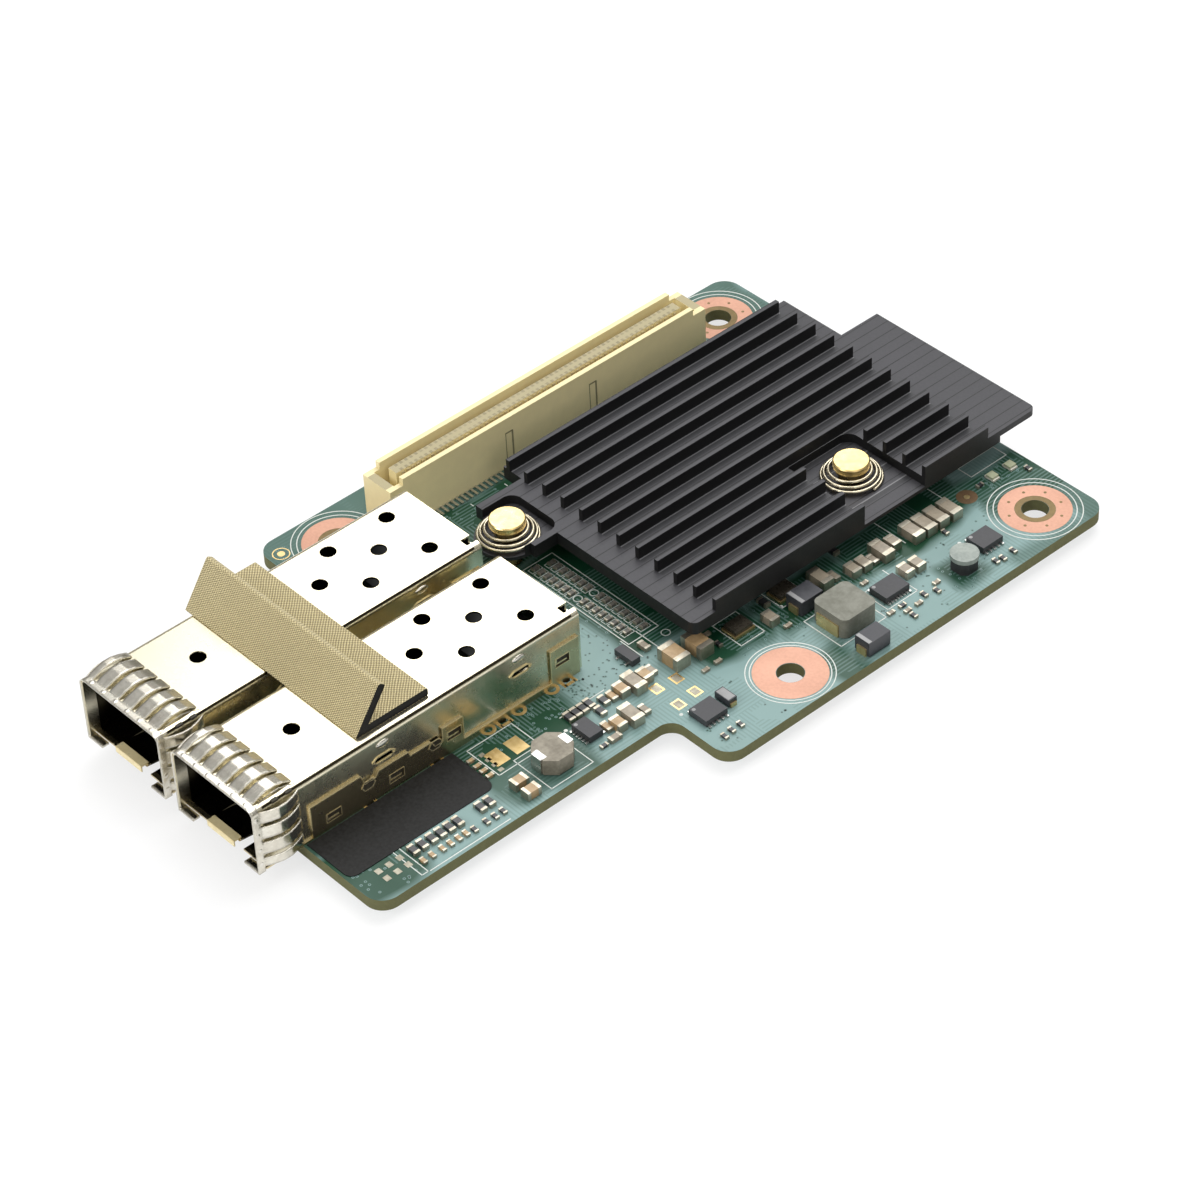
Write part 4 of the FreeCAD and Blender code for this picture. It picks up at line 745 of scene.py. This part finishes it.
class NETCARD_OT_connectors(bpy.types.Operator):
    """Ivory moulding of the long connector with painted shade on its tops, channel, recesses and contact slots; its
    contacts and tails, and the connectors in the ports
    """
    bl_idname = "netcard.connectors"
    bl_label = "Connectors"

    def execute(self, context):
        ivory = settings().ivory
        moulding = grained("ivory moulding", ivory, dim(ivory, 0.93), (0.38, 0.5), scale=700.0,
                           broad=40.0, bump=0.06)
        low, high = (Vector(corner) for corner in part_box("mezzanine_connector"))
        graph = Graph(moulding.node_tree)
        shader, plain = base_colour(graph)
        # Painted shade: top faces a little darker than the walls, and the tongue's channel along the middle much
        # darker.
        on_top = graph.above(graph.facing(), 0.7)
        across = graph.math("ABSOLUTE", graph.minus(object_axes(graph)[0], (low.x + high.x) / 2))
        in_channel = graph.times(on_top, graph.below(across, 1.75 * MM))
        shaded_tops = graph.blend(on_top, plain, (*dim(ivory, 0.86), 1))
        channel = graph.blend(in_channel, shaded_tops, (*dim(ivory, 0.40), 1))
        graph.link(channel, shader, "Base Color")
        dress(moulding, "mezzanine_connector")
        contact = grained("contact blade", (0.80, 0.74, 0.58), (0.62, 0.54, 0.38), (0.25, 0.4), metallic=0.8)
        dress(contact, "mezzanine_contacts")
        tin = grained("tinned tail", (0.70, 0.69, 0.66), (0.55, 0.54, 0.51), (0.2, 0.35), metallic=1.0)
        dress(tin, "mezzanine_tails", "package_leads", "output_inductor_straps")
        gold = grained("gold contact", (0.80, 0.58, 0.26), (0.68, 0.46, 0.18), (0.2, 0.35), metallic=1.0)
        dress(gold, "port_contacts_1", "port_contacts_2")
        strap = grained("gold strap", (0.78, 0.62, 0.32), (0.60, 0.46, 0.22), (0.25, 0.42), metallic=0.85, broad=400.0)
        dress(strap, "diode_straps", "power_inductor_straps")
        black = grained("black moulding", (0.018, 0.018, 0.019), (0.03, 0.03, 0.03), (0.4, 0.6), scale=1200.0)
        dress(black, "port_connector_1", "port_connector_2")
        # Painted shade: dark lines down the two recesses of the outer wall.
        steps = bmesh.new()
        wall = high.x - 0.0005 * MM
        for share in (0.364, 0.630):
            y = low.y + (high.y - low.y) * share
            for offset, line in ((-0.55, 0.12), (0.55, 0.26)):
                add_box(steps, Vector((wall, y + offset * MM, high.z - 4.3 * MM)), (0.03, line, 4.2))
            add_box(steps, Vector((wall, y, high.z - 2.25 * MM)), (0.03, 1.2, 0.22))
        # Painted shade: dark slots in two rows along the top of the tongue.
        middle = (low.x + high.x) / 2
        for step in range(58):
            y = (low.y + high.y) / 2 + (step - 28.5) * 0.8 * MM
            for side in (-1, 1):
                add_box(steps, Vector((middle + side * 0.52 * MM, y, high.z - 0.4 * MM)), (0.46, 0.4, 0.03))
        shade = grained("painted recess shade", dim(ivory, 0.34), dim(ivory, 0.26), (0.5, 0.6))
        finish_piece("connector_recess_shade", steps, [shade])
        return {"FINISHED"}


# ---------- heat sink ----------


FIN_PITCH = 3.356
FIN_SIDE = 1.39  # from the plate's left edge to the right side of the first fin
PINS = ((23.5, 56.1), (44.95, 93.3))


def add_coil(mesh_data, x, y):
    """A smooth conical coil of round wire between a pocket's floor and a pin's head."""
    wire, low, rise, turns, steps, sides = 0.2, 3.93, 1.44, 3.5, 224, 10
    rings = []
    for step in range(steps + 1):
        share = step / steps
        angle = share * turns * 2 * math.pi
        radius = 3.85 - share ** 1.6 * 1.6
        ring = []
        for corner in range(sides):
            lean = corner * 2 * math.pi / sides
            reach = radius + wire * math.cos(lean)
            ring.append(mesh_data.verts.new(spot(x + reach * math.cos(angle), y + reach * math.sin(angle),
                                                 low + share * rise + wire * math.sin(lean))))
        if rings:
            for corner in range(sides):
                after = (corner + 1) % sides
                mesh_data.faces.new((rings[-1][corner], rings[-1][after], ring[after], ring[corner]))
        rings.append(ring)
    for ring in (rings[0], rings[-1]):
        mesh_data.faces.new(ring)


class NETCARD_OT_heat_sink(bpy.types.Operator):
    """Black anodised heat sink with cutter lines on its bare flats, painted light on its up-facing faces, a painted
    glint and painted shade beside each fin, and its pins and springs
    """
    bl_idname = "netcard.heat_sink"
    bl_label = "Heat sink"

    def execute(self, context):
        material, graph, shader = new_material("black anodised aluminium")
        x, y, z, place = object_axes(graph)
        low, high = (Vector(corner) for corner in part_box("heat_sink"))
        on_top = graph.above(graph.facing(), 0.7)
        cutter = graph.times(lines(graph, graph.minus(x, low.x), FIN_PITCH / 2, 0.09), on_top)
        plate_top = low.z + 1.9 * MM
        fins_front, fins_back = low.y + 11.4 * MM, high.y - 8.6 * MM
        floor = graph.times(on_top, graph.below(z, plate_top))
        floor = graph.times(floor, graph.times(graph.above(y, fins_front), graph.below(y, fins_back)))
        # Painted glint and painted shade on the valley floors: a thin light line just past each fin's right side, then
        # a darker band.
        from_fin = graph.minus(x, low.x + (FIN_SIDE - 0.5 * FIN_PITCH) * MM)
        glint = graph.times(lines(graph, graph.minus(from_fin, 0.12 * MM), FIN_PITCH, 0.055), floor)
        shade = graph.times(lines(graph, graph.minus(from_fin, 0.55 * MM), FIN_PITCH, 0.2), floor)
        speckle = graph.noise(place, 2600.0, 3.0)
        tone = graph.plus(graph.times(speckle, 0.4), graph.times(graph.noise(place, 60.0), 0.6))
        flat = graph.blend(graph.remap(tone, 0.35, 0.65), (0.030, 0.030, 0.034, 1), (0.050, 0.049, 0.055, 1))
        flat = graph.blend(shade, flat, (0.032, 0.032, 0.035, 1))
        flat = graph.blend(glint, flat, (0.16, 0.16, 0.165, 1))
        # Painted light and shade: up-facing faces lighter grey, all other faces near black.
        base = graph.blend(on_top, (0.006, 0.006, 0.0065, 1), flat)
        colour = graph.blend(cutter, base, (0.012, 0.012, 0.013, 1))
        graph.fill(shader, {"Base Color": colour, "Roughness": graph.remap(tone, 0.3, 0.7, 0.42, 0.58),
                            "Metallic": 0.2})
        graph.bump(shader, 0.5, 0.03, graph.minus(graph.times(speckle, 0.25), cutter))
        dress(material, "heat_sink")
        brass = grained("brass pin", (0.84, 0.64, 0.30), (0.72, 0.53, 0.22), (0.22, 0.36), metallic=1.0, scale=1200.0)
        dress(brass, "push_pins")
        collars, wires = bmesh.new(), bmesh.new()
        for x, y in PINS:
            add_ring(collars, spot(x, y, 4.75), 1.42, 1.92, 0.84)
            add_coil(wires, x, y)
        finish_piece("pin_collars", collars, [brass])
        wire = grained("spring wire", (0.62, 0.56, 0.42), (0.50, 0.45, 0.33), (0.22, 0.34), metallic=1.0, scale=2000.0)
        coils = finish_piece("pin_coils", wires, [wire], smooth=True)
        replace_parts(coils, "pin_springs")
        return {"FINISHED"}


# ---------- parts on the board ----------


class NETCARD_OT_parts(bpy.types.Operator):
    """Finishes of the chip, the capacitors, resistors, inductors, packages and lamps, and the rounded film"""
    bl_idname = "netcard.parts"
    bl_label = "Parts on the board"

    def execute(self, context):
        finishes = {
            "chip_ball_layer": ((0.35, 0.35, 0.34), (0.2, 0.2, 0.2), (0.4, 0.6), 0.6),
            "chip_substrate": ((0.02, 0.09, 0.045), (0.03, 0.12, 0.06), (0.35, 0.5), 0.0),
            "chip_cap": ((0.55, 0.55, 0.54), (0.45, 0.45, 0.44), (0.3, 0.45), 0.9),
            "thermal_pad": ((0.42, 0.43, 0.46), (0.5, 0.5, 0.52), (0.7, 0.85), 0.0),
            "tan_capacitors": ((0.42, 0.29, 0.155), (0.33, 0.22, 0.11), (0.3, 0.45), 0.0),
            "grey_capacitors": ((0.30, 0.255, 0.19), (0.23, 0.195, 0.145), (0.3, 0.45), 0.0),
            "coupling_field": ((0.17, 0.16, 0.14), (0.12, 0.115, 0.10), (0.3, 0.45), 0.0),
            "chip_resistors": ((0.02, 0.02, 0.022), (0.035, 0.035, 0.037), (0.25, 0.4), 0.0),
            "chip_ends": ((0.55, 0.51, 0.42), (0.42, 0.38, 0.30), (0.3, 0.48), 0.9),
            "chip_packages": ((0.030, 0.030, 0.033), (0.048, 0.048, 0.053), (0.45, 0.6), 0.0),
            "diodes": ((0.025, 0.026, 0.032), (0.042, 0.043, 0.050), (0.4, 0.55), 0.0),
            "crystal_bases": ((0.66, 0.50, 0.24), (0.54, 0.40, 0.18), (0.25, 0.4), 0.9),
            "crystal_lids": ((0.045, 0.04, 0.03), (0.07, 0.06, 0.045), (0.2, 0.35), 0.3),
            "power_inductor": ((0.20, 0.20, 0.165), (0.15, 0.15, 0.12), (0.55, 0.7), 0.1),
            "output_inductor": ((0.25, 0.225, 0.175), (0.17, 0.15, 0.115), (0.45, 0.6), 0.2),
            "drum_inductor": ((0.27, 0.30, 0.27), (0.20, 0.23, 0.21), (0.35, 0.5), 0.1),
            "drum_inductor_base": ((0.02, 0.02, 0.022), (0.035, 0.035, 0.036), (0.45, 0.6), 0.0),
            "lamp_bases": ((0.62, 0.6, 0.52), (0.5, 0.48, 0.42), (0.45, 0.6), 0.0),
            "lamp_lenses": ((0.42, 0.44, 0.30), (0.34, 0.36, 0.24), (0.2, 0.3), 0.0),
        }
        for node, (colour, second, rough, metallic) in finishes.items():
            name = node.replace("_", " ")
            dress(grained(name, colour, second, rough, metallic=metallic, scale=2200.0, broad=500.0), node)
        low, high = (Vector(corner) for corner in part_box("insulating_film"))
        sheet = bmesh.new()
        add_box(sheet, (low + high) / 2, (high - low) / MM)
        upright = [edge for edge in sheet.edges if abs(edge.verts[0].co.z - edge.verts[1].co.z) > 0.05 * MM
                   and edge.verts[0].co.x > low.x + 1 * MM]
        bmesh.ops.bevel(sheet, geom=upright, offset=1.2 * MM, offset_type="OFFSET", segments=6, profile=0.5,
                        affect="EDGES")
        film = grained("black film", (0.008, 0.008, 0.008), (0.018, 0.018, 0.018), (0.5, 0.65), scale=3000.0,
                       broad=2500.0, bump=0.3, bump_depth=0.02, specular=0.2)
        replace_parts(finish_piece("film_sheet", sheet, [film]), "insulating_film")
        return {"FINISHED"}


def islands(node):
    """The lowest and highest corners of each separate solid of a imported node."""
    mesh_data = bmesh.new()
    mesh_data.from_mesh(node.data)
    mesh_data.transform(node.matrix_world)
    bmesh.ops.remove_doubles(mesh_data, verts=mesh_data.verts, dist=0.001 * MM)
    waiting = set(mesh_data.verts)
    corners = []
    while waiting:
        group, edge = [], [waiting.pop()]
        while edge:
            vert = edge.pop()
            group.append(vert.co.copy())
            for other in (link.other_vert(vert) for link in vert.link_edges):
                if other in waiting:
                    waiting.remove(other)
                    edge.append(other)
        corners.append((Vector(map(min, zip(*group))), Vector(map(max, zip(*group)))))
    mesh_data.free()
    return corners


class NETCARD_OT_chip_caps(bpy.types.Operator):
    """Tinned ends of the smallest chip parts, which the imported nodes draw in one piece"""
    bl_idname = "netcard.chip_caps"
    bl_label = "Small chip ends"

    def execute(self, context):
        tin = grained("small tinned end", (0.52, 0.48, 0.40), (0.40, 0.36, 0.28), (0.3, 0.48), metallic=0.85)
        caps = bmesh.new()
        for name in ("tan_capacitors", "grey_capacitors", "chip_resistors", "coupling_field"):
            for low, high in islands(NODES[name]):
                size = (high - low) / MM
                way = 0 if size.x > size.y else 1
                if size[way] < 1.7 and size[1 - way] < 0.9:
                    cap = 0.22 * size[way]
                    for end, side in ((low, 1), (high, -1)):
                        centre = (low + high) / 2
                        centre[way] = end[way] + side * (cap / 2 - 0.02) * MM
                        centre.z = low.z + (size.z + 0.03) * MM / 2
                        block = [0.0, 0.0, size.z + 0.03]
                        block[way] = cap
                        block[1 - way] = size[1 - way] + 0.06
                        add_box(caps, centre, block)
        finish_piece("small_chip_ends", caps, [tin])
        return {"FINISHED"}


class NETCARD_OT_part_marks(bpy.types.Operator):
    """Moulded dots on the packages, cathode bands on the diodes and silver patches on the inductor"""
    bl_idname = "netcard.part_marks"
    bl_label = "Marks on the parts"

    def execute(self, context):
        pale = grained("pale band", (0.30, 0.30, 0.30), (0.24, 0.24, 0.24), (0.5, 0.6))
        marks = bmesh.new()
        for x, y in ((52.3, 41.1), (60.0, 52.6), (59.3, 82.8), (61.0, 97.7)):
            add_disc(marks, spot(x, y, 1.0), 0.24, 0.012, 20)
        for x, y, wide in ((55.05, 74.0, 2.5), (66.0, 74.45, 2.2)):
            add_box(marks, spot(x, y, 2.206), (wide, 0.55, 0.012))
        add_box(marks, spot(60.7, 57.05, 1.106), (2.1, 1.1, 0.012))
        finish_piece("package_marks", marks, [pale])
        silver = grained("silver patch", (0.72, 0.72, 0.70), (0.6, 0.6, 0.58), (0.3, 0.45), metallic=0.9)
        patches = bmesh.new()
        for side in (-1, 1):
            add_box(patches, spot(54.25, 35.8 + side * 1.95, 2.306), (1.7, 0.7, 0.014))
        finish_piece("inductor_patches", patches, [silver])
        return {"FINISHED"}


# ---------- stage ----------


class NETCARD_OT_stage(bpy.types.Operator):
    """Pale floor, soft studio light and the camera at the photograph's angle"""
    bl_idname = "netcard.stage"
    bl_label = "Stage"

    def execute(self, context):
        scene = context.scene
        scene.view_settings.view_transform = "Standard"
        low, high = (Vector(corner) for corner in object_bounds())
        centre = (low + high) / 2
        floor_mesh = bmesh.new()
        bmesh.ops.create_grid(floor_mesh, x_segments=1, y_segments=1, size=3.0,
                              matrix=Matrix.Translation((centre.x, centre.y, low.z - 0.02 * MM)))
        material, graph, shader = new_material("pale floor")
        graph.fill(shader, {"Base Color": (0.93, 0.93, 0.93, 1), "Roughness": 0.9})
        paths = graph.add("LightPath")
        direct = graph.math("MAXIMUM", paths.outputs["Is Camera Ray"], paths.outputs["Is Glossy Ray"])
        glow = graph.add("Emission", {"Color": (1, 1, 1, 1), "Strength": 1.0})
        share = graph.times(direct, 0.72)
        floor_mix = graph.add("MixShader", {0: share, 1: shader.outputs[0], 2: glow.outputs[0]})
        graph.link(floor_mix.outputs[0], graph.tree.get_output_node("ALL"), 0)
        floor = mesh_object("floor", floor_mesh, [material])
        floor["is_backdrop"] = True

        world = bpy.data.worlds.new("studio")
        scene.world = world
        world.use_nodes = True
        world.node_tree.nodes.clear()
        graph = Graph(world.node_tree)
        direction = graph.add("SeparateXYZ", {0: graph.add("TexCoord").outputs["Generated"]})
        height = graph.remap(direction.outputs[2], 0.0, 0.75)
        sky = graph.blend(height, (0.26, 0.24, 0.17, 1), (1.0, 1.0, 1.0, 1))
        paths = graph.add("LightPath")
        seen = graph.blend(paths.outputs["Is Camera Ray"], sky, (1, 1, 1, 1))
        back = graph.add("Background", {"Color": seen, "Strength": 0.5})
        front = graph.add("Background", {"Color": (1, 1, 1, 1), "Strength": 1.0})
        mixed = graph.add("MixShader", {0: paths.outputs["Is Camera Ray"], 1: back.outputs[0], 2: front.outputs[0]})
        graph.add("OutputWorld", {0: mixed.outputs[0]})

        self.lamp("overhead", centre + Vector((-0.10, 0.22, 0.48)), centre, 0.55, 3.4)
        self.lamp("side", centre + Vector((0.42, -0.10, 0.30)), centre, 0.30, 0.45)
        self.lamp("front", centre + Vector((-0.05, -0.45, 0.28)), centre, 0.30, 1.3)

        camera_data = bpy.data.cameras.new("camera")
        camera_data.sensor_width = 36.0
        camera_data.lens = 121.77
        camera_data.shift_x = 0.05496
        camera_data.shift_y = -0.00445
        camera_data.clip_start = 0.01
        camera = new_object("camera", camera_data)
        azimuth, elevation, roll = math.radians(51.034), math.radians(40.514), math.radians(-3.873)
        back = Vector((math.sin(azimuth) * math.cos(elevation), -math.cos(azimuth) * math.cos(elevation),
                       math.sin(elevation)))
        level = Vector((math.cos(azimuth), math.sin(azimuth), 0))
        raised = back.cross(level)
        right = level * math.cos(roll) + raised * math.sin(roll)
        upward = raised * math.cos(roll) - level * math.sin(roll)
        matrix = Matrix((right, upward, back)).transposed().to_4x4()
        matrix.translation = spot(30.625, 53.747) + back * 489.537 * MM
        camera.matrix_world = matrix
        scene.camera = camera
        return {"FINISHED"}

    def lamp(self, name, place, aim, size, power):
        """A square soft light that faces the card."""
        data = bpy.data.lights.new(name, "AREA")
        data.shape = "SQUARE"
        data.size = size
        data.energy = power
        lamp = new_object(name, data)
        lamp.location = place
        lamp.rotation_euler = (aim - place).to_track_quat("-Z", "Y").to_euler()


# ---------- panel and registration ----------

OPERATORS = (
    NETCARD_OT_board, NETCARD_OT_lands, NETCARD_OT_vias, NETCARD_OT_print, NETCARD_OT_cages, NETCARD_OT_seal,
    NETCARD_OT_connectors, NETCARD_OT_heat_sink, NETCARD_OT_parts, NETCARD_OT_chip_caps,
    NETCARD_OT_part_marks, NETCARD_OT_stage,
)


class NETCARD_PT_panel(bpy.types.Panel):
    """Lists the card's pieces and settings"""
    bl_idname = "NETCARD_PT_panel"
    bl_label = "Network card"
    bl_space_type = "VIEW_3D"
    bl_region_type = "UI"
    bl_category = "Network card"

    def draw(self, context):
        for name in CardSettings.__annotations__:
            self.layout.prop(context.scene.network_card, name)
        for operator in OPERATORS:
            self.layout.operator(operator.bl_idname)


CLASSES = (CardSettings, *OPERATORS, NETCARD_PT_panel)


def register():
    for item in CLASSES:
        bpy.utils.register_class(item)
    bpy.types.Scene.network_card = bpy.props.PointerProperty(type=CardSettings)


def unregister():
    del bpy.types.Scene.network_card
    for item in reversed(CLASSES):
        bpy.utils.unregister_class(item)


def main():
    register()
    for operator in OPERATORS:
        group, name = operator.bl_idname.split(".")
        if getattr(getattr(bpy.ops, group), name)() != {"FINISHED"}:
            raise RuntimeError(operator.bl_label + " did not finish")


if __name__ == "__main__":
    main()
